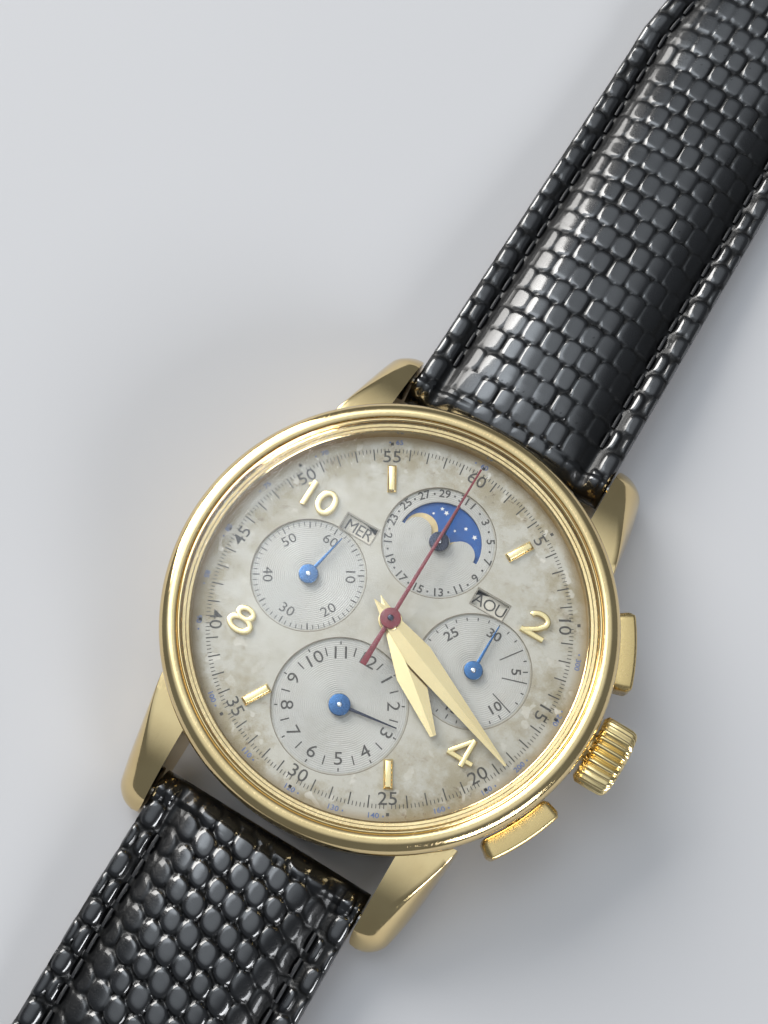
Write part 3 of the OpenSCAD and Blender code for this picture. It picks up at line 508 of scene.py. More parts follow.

# %% [markdown]
# ## Leathers
# Lizard skin is a field of hard little scales under a glazed, nearly black finish. The scales themselves are
# geometry, so the material only adds what is smaller: pores, a glaze that is thinner and rougher in the valleys,
# a painted shade that darkens the colour down in the valleys, and a faint blue-grey painted sheen in the colour of
# the crowns. The height of the skin is kept as a vertex attribute, so the valleys can stay dull and darker while
# the crowns shine.

# %% Lizard leather
lizard_skin, tree, shader = new_material(
    "lizard_skin", Roughness=0.22, Coat_Weight=0.4, Coat_Roughness=0.09, Coat_IOR=1.95, Specular_IOR_Level=0.25)
crown_height = tree.nodes.new("ShaderNodeAttribute")
crown_height.attribute_name = "scale_height"
level = crown_height.outputs["Fac"]
grain = use_group(tree, grain_group, Scale=4200.0)
cracks = use_group(tree, grain_group, Scale=1300.0)
drift = use_group(tree, drift_group, Scale=400.0, Fine_Scale=2600.0)
# Painted sheen and shade: the colour is a faint blue-grey on the scale crowns and darker in the valleys, set by
# the scale height.
skin = mix_colour(tree, drift.outputs["Broad"], (0.003, 0.0032, 0.004), (0.0055, 0.006, 0.0075))
tree.links.new(mix_colour(tree, level, (0.0008, 0.0008, 0.0008), skin), shader.inputs["Base Color"])
gloss_level = math_node(tree, "MULTIPLY_ADD", level, -0.3, 0.46)
gloss_level = math_node(tree, "MULTIPLY_ADD", drift.outputs["Fine"], 0.08, gloss_level)
tree.links.new(gloss_level, shader.inputs["Roughness"])
tree.links.new(math_node(tree, "MULTIPLY_ADD", math_node(tree, "POWER", level, 2.0), 0.86, 0.04),
                shader.inputs["Coat Weight"])
valley = math_node(tree, "SUBTRACT", 1.1, level)
folds = math_node(tree, "MULTIPLY", cracks.outputs["Height"], math_node(tree, "MULTIPLY", valley, 4.0))
bump(tree, shader, math_node(tree, "ADD", grain.outputs["Height"], folds), 0.16, 0.00003)


# %% Plain leathers and thread
def leather(name, colour, worn, rough, scale, coat=0.0, depth=0.4):
    material, tree, shader = new_material(name, Roughness=rough, Coat_Weight=coat, Coat_Roughness=0.2)
    grain = use_group(tree, grain_group, Scale=scale)
    drift = use_group(tree, drift_group, Scale=200.0, Fine_Scale=1200.0)
    tree.links.new(mix_colour(tree, drift.outputs["Broad"], colour, worn), shader.inputs["Base Color"])
    rough_value = math_node(tree, "MULTIPLY_ADD", grain.outputs["Pores"], -0.12, rough + 0.1)
    tree.links.new(rough_value, shader.inputs["Roughness"])
    bump(tree, shader, grain.outputs["Height"], depth, 0.00003)
    return material


lining_calf = leather("lining_calf", (0.17, 0.095, 0.05), (0.11, 0.06, 0.03), 0.55, 2200.0)
edge_paint = leather("edge_paint", (0.005, 0.005, 0.005), (0.009, 0.009, 0.009), 0.3, 1500.0, 0.4, 0.2)
keeper_leather = leather("keeper_leather", (0.005, 0.005, 0.006), (0.009, 0.009, 0.01), 0.28, 2600.0, 0.5)
black_thread = leather("black_thread", (0.008, 0.008, 0.009), (0.016, 0.016, 0.018), 0.5, 9000.0)

# %% [markdown]
# ## Bezel
# The bezel is turned in one piece: an undercut foot, a wide rounded bead with its crest near the inside, a
# groove, a thin inner bead beside the crystal, and under the crystal's edge a seat with three fine turned steps.
# A lathe is the obvious tool, and the profile is mostly arcs.

# %% Turn the bezel
bezel_profile = (
    [(15.93, 7.4), (17.15, 7.4)]
    + arc(16.95, 8.7, BEZEL_R - 16.95, -75, 104, 24)
    + [(16.58, 9.66), (16.54, 9.52), (16.5, 9.5)]
    + arc(16.36, 9.5, 0.13, 15, 165, 7)
    + [(16.22, 9.46), (16.2, 9.24), (16.12, 9.16), (15.9, 9.14), (15.84, 9.06), (15.64, 9.04), (15.58, 8.96),
       (OPEN_R, 8.92), (OPEN_R, 7.8), (15.93, 7.8)])
finish_piece("bezel_turned", lathe(bezel_profile, 256), case_gold, "case", ["bezel"], 30)

# %% [markdown]
# ## Crystal
# A pressed acrylic dome. It is thin and clear, so its reflections are what is seen of it: the material is a
# mirror whose coverage follows Fresnel's law, and light passes straight through the rest.


# %% Blow the dome
def dome_height(r, edge, rise):
    big = (edge * edge + rise * rise) / (2 * rise)
    return math.sqrt(big * big - r * r) - big + rise


DOME_FOOT = 10.4
outer = [(CRYSTAL_R * (1 - i / 40), DOME_FOOT + dome_height(CRYSTAL_R * (1 - i / 40), CRYSTAL_R,
                                                           CRYSTAL_TOP - DOME_FOOT)) for i in range(41)]
inner_r = OPEN_R + 0.35
inner = [(inner_r * i / 40, 9.3 + dome_height(inner_r * i / 40, inner_r, 2.1)) for i in range(41)]
crystal_profile = [(inner_r + 0.1, 9.25), (CRYSTAL_R - 0.02, 9.25)] + outer + inner
finish_piece("crystal_dome", lathe(crystal_profile, 128), crystal_acrylic, "case", ["crystal"],
             50)

# %% [markdown]
# ## Mid-case and lugs
# The lugs are soldered to the turned band on the real case, so the band is lathed and each lug is a wrapped
# grid. A lug has three faces: a straight inner wall, a flat top that narrows to a crescent towards the tip, and
# a rounded flank outside it. The crease between them runs from the outer edge at the case to the inner edge at
# the tip.

# %% Turn the band
band_profile = (
    [(15.4, 1.6), (16.85, 1.6)] + arc(16.9, 2.5, 0.8, -90, 0, 6) + [(17.72, 4.4)]
    + arc(16.9, 6.6, 0.8, 0, 60, 6) + [(17.15, 7.4), (15.4, 7.4)])
band = lathe(band_profile, 224)

# %% Shape one lug
LUG_ROOT, LUG_TIP, LUG_IN = 12.4, 22.4, 9.5


def lug_section(y):
    """Inner x, outer x, bottom z, top z and the crease's x at a distance y from the watch's centre line."""
    t = (y - LUG_ROOT) / (LUG_TIP - LUG_ROOT)
    outer_x = 13.55 - 0.75 * t - 0.85 * t ** 3
    inner_x = LUG_IN
    shrink = max(0.0, (y - 20.9) / (LUG_TIP - 20.9))
    rounding = math.sqrt(max(0.0, 1 - shrink * shrink))
    middle = inner_x + 0.85
    outer_x = middle + (outer_x - middle) * rounding
    inner_x = middle - (middle - inner_x) * rounding ** 0.35
    top = 6.95 - 0.35 * t - 2.6 * t ** 2.2 - 1.0 * max(0.0, t - 0.7) ** 1.5
    bottom = 1.6 - 0.9 * math.sin(math.pi * min(t, 0.62)) + 0.9 * shrink ** 2
    top = bottom + (top - bottom) * (0.35 + 0.65 * rounding)
    crease = outer_x - 0.25 + (inner_x + 0.12 - outer_x + 0.25) * min(1.0, t * 1.06) ** 1.5
    return inner_x, outer_x, bottom, top, crease


def lug_point(i, j):
    spread = j / 40
    y = LUG_ROOT + (LUG_TIP - LUG_ROOT) * (1 - (1 - spread) ** 1.35)
    inner_x, outer_x, bottom, top, crease = lug_section(y)
    if i < 6:
        return Vector((inner_x, y, bottom + (top - bottom) * i / 6))
    if i < 14:
        return Vector((inner_x + (crease - inner_x) * (i - 6) / 8, y, top))
    if i < 30:
        a = math.pi / 2 * (i - 14) / 16
        drop = (top - bottom) * 0.82
        return Vector((crease + (outer_x - crease) * math.sin(a), y, top - drop * (1 - math.cos(a))))
    k = (i - 30) / 10
    low = bottom + (top - bottom) * 0.18 * (1 - k) ** 2
    return Vector((outer_x + (inner_x - outer_x) * k, y, low))


def lug(flip_x, flip_y):
    bm = wrapped_grid(40, 40, lug_point)
    bmesh.ops.scale(bm, vec=(flip_x, flip_y, 1), verts=bm.verts)
    bmesh.ops.recalc_face_normals(bm, faces=bm.faces)
    return bm


lugs = [lug(x, y) for x in (1, -1) for y in (1, -1)]
finish_piece("case_band_and_lugs", join(band, *lugs), case_gold, "case", ["mid_case"], 28)

# %% [markdown]
# ## Case back
# A snap back, plain and slightly domed at its edge, with a lifting lip. It is turned like the bezel.

# %% Turn the case back
back_profile = (
    [(0, 0), (12.6, 0)] + arc(12.6, 1.2, 1.2, -90, -66, 4) + [(16.0, 0.62)] + arc(16.1, 1.1, 0.5, -60, 0, 5)
    + [(16.6, 1.58), (15.4, 1.58), (15.4, 2.4), (14.7, 2.4), (14.7, 0.9), (0, 0.9)])
finish_piece("case_back_turned", lathe(back_profile, 192, closed=False), case_gold, "case", ["case_back"],
             30)

# %% [markdown]
# ## Crown
# The crown's grip is a ring of thick rounded flutes. A circle with several points per flute is pulled in between
# them, extruded along the stem in steps that round the shoulders over, and capped with a shallow dome.

# %% Flute the crown
FLUTES = 26
FLUTE_DEPTH = 0.3
FLUTE_POINTS = 8
crown_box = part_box("crown")
CROWN_X0, CROWN_X1 = crown_box[0].x / MM, crown_box[1].x / MM


def crown_point(i, j):
    length = CROWN_X1 - CROWN_X0
    stations = [(0.0, 1.75, 0), (0.0, 2.5, 0.2), (0.05, 2.72, 0.9), (0.1, 2.88, 1), (0.5, 2.9, 1), (0.78, 2.88, 1),
                (0.88, 2.78, 0.9), (0.94, 2.55, 0.5), (0.98, 1.9, 0), (0.99, 1.0, 0), (1.0, 0.05, 0)]
    share, r, fluting = stations[j]
    x = share * length
    a = math.tau * i / (FLUTES * FLUTE_POINTS)
    r -= FLUTE_DEPTH * fluting * abs(math.cos(a * FLUTES / 2)) ** 3
    return Vector((CROWN_X0 + x, r * math.cos(a), STEM_Z + r * math.sin(a)))


crown = wrapped_grid(FLUTES * FLUTE_POINTS, 10, crown_point)
finish_piece("crown_fluted", crown, crown_gold, "crown", ["crown"], 40)

# %% [markdown]
# ## Pushers
# Each pusher is a small block bent to the case's curve, with a brushed top and softened edges. A grid wrapped
# round a rounded rectangle and carried along an arc gives the bend and the edges at once.


# %% Bend a pusher
def pusher(angle):
    half = math.degrees(math.asin(3 / 18))
    inner_r, outer_r, height, soft = 18.0, 19.75, 2.6, 0.28

    def point(i, j):
        swing = -half + 2 * half * j / 24
        corner = max(0.0, (abs(swing) - half + 1.4) / 1.4)
        shrink = 0.3 * (1 - math.sqrt(max(0.0, 1 - corner * corner)))
        outline = round_rect((outer_r - inner_r) - shrink * 2, height - shrink * 2, soft, 5)
        x, z = outline[i]
        a = math.radians(angle + swing)
        r = (inner_r + outer_r) / 2 + x
        return Vector((r * math.cos(a), r * math.sin(a), STEM_Z + z))

    head = wrapped_grid(24, 24, point)
    stem = bmesh.new()
    bmesh.ops.create_cone(stem, cap_ends=True, segments=32, radius1=0.6, radius2=0.6, depth=4.1)
    along = Matrix.Rotation(math.radians(angle), 4, "Z") @ Matrix.Translation((16.25, 0, STEM_Z))
    moved(stem, along @ Matrix.Rotation(math.pi / 2, 4, "Y"))
    return join(head, stem)


def round_rect(width, height, corner, per_corner):
    points = []
    for quarter, (sx, sy) in enumerate(((1, 1), (-1, 1), (-1, -1), (1, -1))):
        cx, cy = sx * (width / 2 - corner), sy * (height / 2 - corner)
        points += arc(cx, cy, corner, 90 * quarter, 90 * quarter + 90, per_corner)
    return points


finish_piece("start_pusher_block", pusher(25), pusher_gold, "start_pusher", ["start_pusher"], 40)
finish_piece("reset_pusher_block", pusher(-27), pusher_gold, "reset_pusher", ["reset_pusher"], 40)

# %% [markdown]
# ## Applied markers
# Four batons and four numerals are riveted to the dial in gold. A baton is a bar with a roof along it. The
# numerals are wide and flat with softened shoulders, as stamping and polishing leave them, so each is a flat
# ribbon carried along its strokes.


# %% Batons
def baton(hour):
    length, width = 2.3, 0.74
    body = plate([(-width / 2, -length / 2), (width / 2, -length / 2), (width / 2, length / 2),
                  (-width / 2, length / 2)], 0, 0.16)
    top = [f for f in body.faces if f.normal.z > 0.9]
    inset = bmesh.ops.inset_region(body, faces=top, thickness=0.22, depth=0.2)
    bmesh.ops.bevel(body, geom=[e for e in body.edges if e.calc_face_angle(0) > 0.5], offset=0.025,
                    segments=2, affect="EDGES", profile=0.5, material=-1)
    print("baton", hour, "roof faces", len(inset["faces"]))
    return moved(body, clock_matrix(30 * hour, z=DIAL_Z) @ Matrix.Translation((0, 11.85, 0)))


# %% Numerals
def ribbon(path, width, height, closed=False):
    """A flat band with softened shoulders along a path on the dial."""
    soft = 0.08
    half = width / 2
    section = [(-half, 0), (half, 0), (half, height - soft), (half - 0.3 * soft, height - 0.3 * soft),
               (half - soft, height), (-half + soft, height), (-half + 0.3 * soft, height - 0.3 * soft),
               (-half, height - soft)]
    last = len(path) - 1

    def point(i, j):
        before = path[j - 1] if closed or j else path[0]
        after = path[(j + 1) % len(path)] if closed or j < last else path[last]
        side = Vector((after[1] - before[1], before[0] - after[0])).normalized()
        off, up = section[i]
        return Vector((path[j][0] + side.x * off, path[j][1] + side.y * off, up))

    return wrapped_grid(len(section), len(path) if closed else last, point, loop=closed)


def oval(cx, cy, rx, ry, count=40):
    return [(cx + rx * math.cos(a), cy + ry * math.sin(a))
            for a in np.linspace(0, math.tau, count, endpoint=False)]


def numeral(value):
    if value == 2:
        bowl = [(0.72 * x, 0.5 * y + 0.4) for x, y in arc(0, 0, 1, 172, -28, 18)]
        return [ribbon(bowl + [(0.2, -0.32), (-0.78, -0.9)], 0.44, 0.32),
                ribbon([(-0.98, -0.88), (1.0, -0.88)], 0.44, 0.316)]
    if value == 4:
        return [ribbon([(0.36, 1.12), (0.36, -1.14)], 0.44, 0.32),
                ribbon([(0.3, 1.0), (-0.98, -0.58)], 0.4, 0.316),
                ribbon([(-1.08, -0.62), (1.06, -0.62)], 0.42, 0.312)]
    if value == 8:
        return [ribbon(oval(0, 0.5, 0.62, 0.42), 0.44, 0.32, True),
                ribbon(oval(0, -0.42, 0.88, 0.52), 0.46, 0.316, True)]
    return [ribbon([(-0.98, -1.1), (-0.98, 1.1)], 0.44, 0.32),
            ribbon([(-1.42, 0.62), (-0.98, 0.96)], 0.26, 0.312),
            ribbon(oval(0.66, 0, 0.64, 0.87), 0.48, 0.32, True)]


applied = [baton(hour) for hour in (1, 5, 7, 11)]
for value in (2, 4, 8, 10):
    spot = clock(30 * value, 11.55)
    for part in numeral(value):
        applied.append(moved(part, Matrix.Translation((spot.x, spot.y, DIAL_Z))))
finish_piece("applied_markers", join(*applied), marker_gold, "case", ["hour_markers"], 32)

# %% [markdown]
# ## Printing on the dial
# Scales and numerals are pad-printed. Each tick is a little raised box, and each numeral is text made into a
# mesh before it is placed. Numerals round a ring stand with their heads outwards on the upper half and inwards
# on the lower half, so that none is upside down.

# %% Ticks and numerals
PRINT_HEIGHT = 0.012


def tick(angle, r0, r1, width, centre=(0, 0), z=DIAL_Z):
    bm = bmesh.new()
    bmesh.ops.create_cube(bm, size=1)
    bmesh.ops.scale(bm, vec=(width, r1 - r0, PRINT_HEIGHT), verts=bm.verts)
    place = clock_matrix(angle, centre, z) @ Matrix.Translation((0, (r0 + r1) / 2, PRINT_HEIGHT / 2))
    return moved(bm, place)


def lettering(text, size, place, weight=0.0, spacing=1.0):
    curve = bpy.data.curves.new("print", "FONT")
    curve.body = text
    curve.size = size
    curve.extrude = PRINT_HEIGHT / 2
    curve.offset = weight
    curve.space_character = spacing
    curve.resolution_u = 3
    curve.align_x = "CENTER"
    curve.align_y = "CENTER"
    holder = bpy.data.objects.new("print", curve)
    mesh = bpy.data.meshes.new_from_object(holder)
    bm = bmesh.new()
    bm.from_mesh(mesh)
    bpy.data.objects.remove(holder)
    bpy.data.curves.remove(curve)
    bpy.data.meshes.remove(mesh)
    return moved(bm, place)


def ring_number(text, angle, r, size, centre=(0, 0), z=DIAL_Z, flip=(95, 262), weight=0.0, wide=1.14):
    spot = clock(angle, r, centre)
    inward = flip[0] < angle % 360 < flip[1]
    spin = math.radians(-angle + (180 if inward else 0))
    place = Matrix.Translation((spot.x, spot.y, z + PRINT_HEIGHT / 2)) @ Matrix.Rotation(spin, 4, "Z")
    return lettering(text, size, place @ Matrix.Diagonal((wide, 1, 1, 1)), weight)


# %% Minute track and the outer scale
prints = []
for n in range(300):
    if n % 5 == 0:
        minute = n // 5
        if minute % 5:
            prints.append(tick(n * 1.2, 13.5, 14.45, 0.1))
        else:
            prints.append(tick(n * 1.2, 14.75, 15.0, 0.24))
    elif 25 < (n + 25) % 50 or (n + 25) % 50 < 23 or n % 25 > 2:
        prints.append(tick(n * 1.2, 14.12, 14.45, 0.06))
for n in range(5, 65, 5):
    prints.append(ring_number(str(n), n * 6, 13.72, 1.4, flip=(100, 260), weight=0.004))
finish_piece("minute_track", join(*prints), black_print, "case", sharp=60)

outer_scale = []
for value in (60, 65, 70, 75, 80, 85, 90, 100, 110, 120, 130, 140, 160, 180, 200, 240, 300):
    angle = 3600 / value * 6
    outer_scale.append(ring_number(str(value), angle, 15.0, 0.56, flip=(100, 260), weight=0.008))
    outer_scale.append(tick(angle - 3.0, 14.95, 15.08, 0.12))
finish_piece("outer_scale", join(*outer_scale), blue_print, "case", sharp=60)

# %% Subdial scales
scales = []
for n in range(31):
    angle = (n + 1 - 31) * 360 / 31
    if n % 2 == 0:
        scales.append(ring_number(str(n + 1), angle, 4.12, 0.92, DATE, SUBDIAL_Z, (95, 255), 0.014, 1.05))
    else:
        scales.append(tick(angle, 4.05, 4.2, 0.15, DATE, SUBDIAL_Z))
for n in range(60):
    long_mark = n % 5 == 0
    scales.append(tick(n * 6, 3.9 if long_mark else 4.08, 4.42, 0.1 if long_mark else 0.06, SECONDS, SUBDIAL_Z))
for n in range(10, 70, 10):
    scales.append(ring_number(str(n), n * 6, 3.28, 1.12, SECONDS, SUBDIAL_Z, (100, 260), 0.0))
for n in range(30):
    long_mark = n % 5 == 0
    call = n in (3, 6, 9)
    start = 2.3 if call else (3.9 if long_mark else 4.05)
    scales.append(tick(n * 12, start, 4.3, 0.09, MINUTES, SUBDIAL_Z))
for n in range(5, 35, 5):
    scales.append(ring_number(str(n), n * 12, 3.34, 1.06, MINUTES, SUBDIAL_Z, (100, 260), 0.015))
for n in range(24):
    half_hour = n % 2
    scales.append(tick(n * 15, 4.0 if half_hour else 4.8, 4.7 if half_hour else 5.06, 0.1, HOURS, SUBDIAL_Z))
for n in range(1, 13):
    scales.append(ring_number(str(n), n * 30, 4.12, 1.42, HOURS, SUBDIAL_Z, (100, 260), 0.0))
finish_piece("subdial_scales", join(*scales), black_print, "case", sharp=60)

# %% Grooves round the subdials and frames round the windows
rims = []
for centre, r in ((DATE, 4.6), (SECONDS, 4.6), (MINUTES, 4.6), (HOURS, 5.35)):
    groove = lathe([(r - 0.02, DIAL_Z - 0.1), (r + 0.035, DIAL_Z - 0.1), (r + 0.035, DIAL_Z + 0.008),
                    (r - 0.02, DIAL_Z + 0.008)], 128)
    rims.append(moved(groove, Matrix.Translation((centre.x, centre.y, 0))))
finish_piece("subdial_grooves", join(*rims), groove_shade, "case", sharp=40)


def window_frame(cx):
    bm = plate([(cx - 1.5, 4.52), (cx + 1.5, 4.52), (cx + 1.5, 6.08), (cx - 1.5, 6.08)], DIAL_Z, 0.035)
    top = [f for f in bm.faces if f.normal.z > 0.9]
    bmesh.ops.inset_region(bm, faces=top, thickness=0.1)
    bmesh.ops.recalc_face_normals(bm, faces=bm.faces)
    centre = [f for f in bm.faces if f.normal.z > 0.9 and abs(f.calc_center_median().x - cx) < 0.1
              and abs(f.calc_center_median().y - 5.3) < 0.1]
    floor = [f for f in bm.faces if f.normal.z < -0.9]
    bmesh.ops.delete(bm, geom=centre + floor, context="FACES")
    rim = [e for e in bm.edges if e.is_boundary]
    walls = bmesh.ops.extrude_edge_only(bm, edges=[e for e in rim if e.verts[0].co.z > DIAL_Z + 0.01])
    down = [v for v in walls["geom"] if isinstance(v, bmesh.types.BMVert)]
    bmesh.ops.translate(bm, vec=(0, 0, -0.3), verts=down)
    bmesh.ops.recalc_face_normals(bm, faces=bm.faces)
    return bm


finish_piece("window_frames", join(window_frame(-6.05), window_frame(6.05)), window_dark, "case", sharp=40)

# %% [markdown]
# ## Calendar discs
# Under the dial turn a moon disc and two printed rings. Their names are the usual three-letter French days and
# months, so any turn of the calendar shows a name in its window. The moon disc has two moons: as it turns, one
# comes up behind the left hump of the aperture while the other sets behind the right one.


# %% Days and months
def printed_disc(centre, window, names):
    offset = Vector(window) - centre
    first = math.degrees(math.atan2(offset.x, offset.y))
    parts = []
    for number, name in enumerate(names):
        turn_back = -360 * number / len(names)
        place = (Matrix.Translation((centre.x, centre.y, DISC_Z + PRINT_HEIGHT / 2))
                 @ Matrix.Rotation(math.radians(turn_back), 4, "Z")
                 @ Matrix.Translation((offset.x, offset.y, 0)))
        parts.append(lettering(name, 1.36, place, 0.0, 0.9))
    print("disc", names[0], "window angle", round(first, 1))
    return join(*parts)


DAYS = ["MER", "JEU", "VEN", "SAM", "DIM", "LUN", "MAR"]
MONTHS = ["AOU", "SEP", "OCT", "NOV", "DEC", "JAN", "FEV", "MAR", "AVR", "MAI", "JUN", "JUL"]
finish_piece("day_names", printed_disc(SECONDS, (-6.05, 5.28), DAYS), black_print, "day", sharp=60)
finish_piece("month_names", printed_disc(MINUTES, (6.05, 5.28), MONTHS), black_print, "month", sharp=60)


# %% Moons and stars
def star(centre, r, spin):
    points = []
    for n in range(10):
        a = math.radians(36 * n + spin)
        reach = r if n % 2 == 0 else r * 0.45
        points.append((centre[0] + reach * math.cos(a), centre[1] + reach * math.sin(a)))
    return plate(points, DISC_Z, 0.02)


def moon(centre):
    return plate([(centre[0] + x, centre[1] + y) for x, y in arc(0, 0, 1.38, 0, 351, 39)], DISC_Z, 0.02)


moons = [moon((DATE.x - 1.83, DATE.y + 0.32)), moon((DATE.x + 1.83, DATE.y - 0.32))]
finish_piece("moons", join(*moons), moon_cream, "moon_phase", sharp=40)
stars = []
for n in range(22):
    angle = 20 + n * 360 / 22 + 7 * math.sin(n * 5)
    r = 1.7 + 1.25 * abs(math.sin(n * 2.4))
    spot = clock(angle, r, DATE)
    if all((spot - Vector((DATE.x + s * 1.83, DATE.y - s * 0.32))).length > 1.6 for s in (-1, 1)):
        stars.append(star(spot, 0.13 + 0.05 * (n % 3), 40 * n))
finish_piece("stars", join(*stars), star_white, "moon_phase", sharp=40)

# %% [markdown]
# ## Hands
# The hour and minute hands are dauphine hands: a long diamond with a ridge, each half catching the light on its
# own. The outline is stamped as a plate, cut along its middle, and the ridge is lifted. The chronograph hand is
# a fine red needle with a widened tail, and the recorders' hands are needles on blued hubs.


# %% Hand makers
def ridged(outline, z, thickness, ridge):
    bm = plate(outline, z, thickness)
    bmesh.ops.bisect_plane(bm, geom=list(bm.verts) + list(bm.edges) + list(bm.faces), plane_co=(0, 0, 0),
                           plane_no=(1, 0, 0), dist=1e-5)
    reach = max(y for _, y in outline)
    bmesh.ops.subdivide_edges(bm, edges=[e for e in bm.edges if all(abs(v.co.x) < 1e-4 for v in e.verts)
                                         and e.verts[0].co.z > z + thickness / 2], cuts=6)
    for vert in bm.verts:
        if abs(vert.co.x) < 1e-4 and vert.co.z > z + thickness * 0.9 and -1.9 < vert.co.y < reach - 0.1:
            vert.co.z += ridge * min(1.0, (reach - vert.co.y) / 4)
    return bm


def disc(r, z0, z1, soft=0.04, steps=64):
    return lathe([(0, z0), (r, z0), (r, z1 - soft)] + arc(r - soft, z1 - soft, soft, 20, 90, 3) + [(0, z1)],
                 steps, closed=False)


def pinned(parts, slots, centre, angle):
    whole = join(*parts, slots=slots)
    return moved(whole, clock_matrix(angle, centre))


# %% Hour and minute hands
hour_outline = [(0.0, -2.2), (0.5, -0.6), (1.12, 4.6), (0.24, 9.6), (-0.24, 9.6), (-1.12, 4.6), (-0.5, -0.6)]
hour = pinned([ridged(hour_outline, 8.42, 0.08, 0.1), disc(0.95, 8.42, 8.6)], [0, 0], (0, 0), HOUR_ANGLE)
finish_piece("hour_hand_dauphine", hour, hand_gold, "hour", ["hour_hand"], 8)
minute_outline = [(0.0, -2.1), (0.5, -0.6), (1.1, 3.6), (0.09, 14.3), (-0.09, 14.3), (-1.1, 3.6), (-0.5, -0.6)]
minute = pinned([ridged(minute_outline, 8.78, 0.08, 0.1), disc(0.85, 8.78, 8.95)], [0, 0], (0, 0), MINUTE_ANGLE)
finish_piece("minute_hand_dauphine", minute, hand_gold, "minute", ["minute_hand"], 8)

# %% Chronograph hand
red_outline = [(-0.27, -4.2), (0.27, -4.2), (0.17, -1.0), (0.17, 1.5), (0.075, 14.25), (-0.075, 14.25),
               (-0.17, 1.5), (-0.17, -1.0)]
red = pinned([plate(red_outline, 9.12, 0.12, 0.03), disc(0.82, 9.12, 9.45, 0.06), disc(0.24, 9.4, 9.58, 0.08)],
             [0, 0, 1], (0, 0), 0)
finish_piece("chronograph_needle", red, [red_enamel, needle_steel], "chronograph_runner",
             ["chronograph_seconds_hand"], 35)


# %% Recorder hands
def needle(centre, angle, length, hub_r, body, node, shaft, hub=blued_steel):
    outline = [(-0.13, -0.5), (0.13, -0.5), (0.13, 0.9), (0.045, length), (-0.045, length), (-0.13, 0.9)]
    parts = [plate(outline, 7.95, 0.09, 0.02), disc(hub_r, 7.95, 8.16, 0.05), disc(0.2, 8.14, 8.26, 0.07, 32)]
    whole = pinned(parts, [0, 1, 2], centre, angle)
    finish_piece(node + "_needle", whole, [shaft, hub, pin_steel], body, [node], 35)


needle(SECONDS, SECONDS_ANGLE, 3.95, 0.78, "running_seconds", "small_seconds_hand", blued_steel)
needle(MINUTES, 0, 4.1, 0.74, "minute_recorder", "minute_recorder_hand", blued_steel)
needle(HOURS, RECORDER_ANGLE, 4.75, 0.86, "hour_recorder", "hour_recorder_hand", needle_steel)
needle(DATE, 0, 3.4, 0.8, "date", "date_hand", needle_steel, needle_steel)

# %% [markdown]
# ## Strap
# Each half is one closed skin. A grid is rolled round the strap's section and carried from the spring bar to the
# end: the section has a flat rim, a sunken line for the stitches and a padded middle that thins away from the
# case. The scales are then raised out of it. Each scale is a rounded box in a staggered, slightly jittered row:
# its flank rises quickly from the valley and its top is nearly flat, so the light breaks on every one. The upper
# half has long flat scales and the lower half round ones. The rows come from a formula, so they are the same in
# every run.

# %% Scale lattice
def hashed(a, b, salt):
    """A repeatable number from 0 to 1 for each pair of lattice indices."""
    value = np.sin(a * 127.1 + b * 311.7 + salt * 74.7) * 43758.5453
    return value - np.floor(value)


def scale_field(x, y, across, along, fill, power, crown, jitter, salt):
    """Height from 0 between scales to 1 on their tops; each is a rounded box in a staggered row."""
    heights = np.zeros(x.shape)
    row0, column0 = np.floor(y / along), np.floor(x / across)
    for drow in (-1, 0, 1):
        row = row0 + drow
        for dcolumn in (-2, -1, 0, 1, 2):
            column = column0 + dcolumn
            size = fill + 0.14 * (hashed(column, row, salt + 2) - 0.5)
            cx = (column + 0.5 * (row % 2) + 0.5 + jitter * (hashed(column, row, salt) - 0.5)) * across
            cy = (row + 0.5 + jitter * 0.6 * (hashed(column, row, salt + 1) - 0.5)) * along
            u = np.abs(x - cx) / (0.5 * across * size)
            v = np.abs(y - cy) / (0.5 * along * size)
            inside = np.clip(1 - (u ** power + v ** power) ** (crown / power), 0, 1)
            heights = np.maximum(heights, np.sqrt(1 - (1 - inside) ** 2) * (0.85 + 0.15 * (1 - u * u)))
    return heights


# %% Strap section
TOP, SIDE, UNDER = 144, 5, 11
AROUND = TOP + SIDE * 2 + UNDER
MARGIN = 1.65
MARGIN_LATTICE = (1.7, 2.1, 1.0, 2.8, 2.8, 0.3, 31)


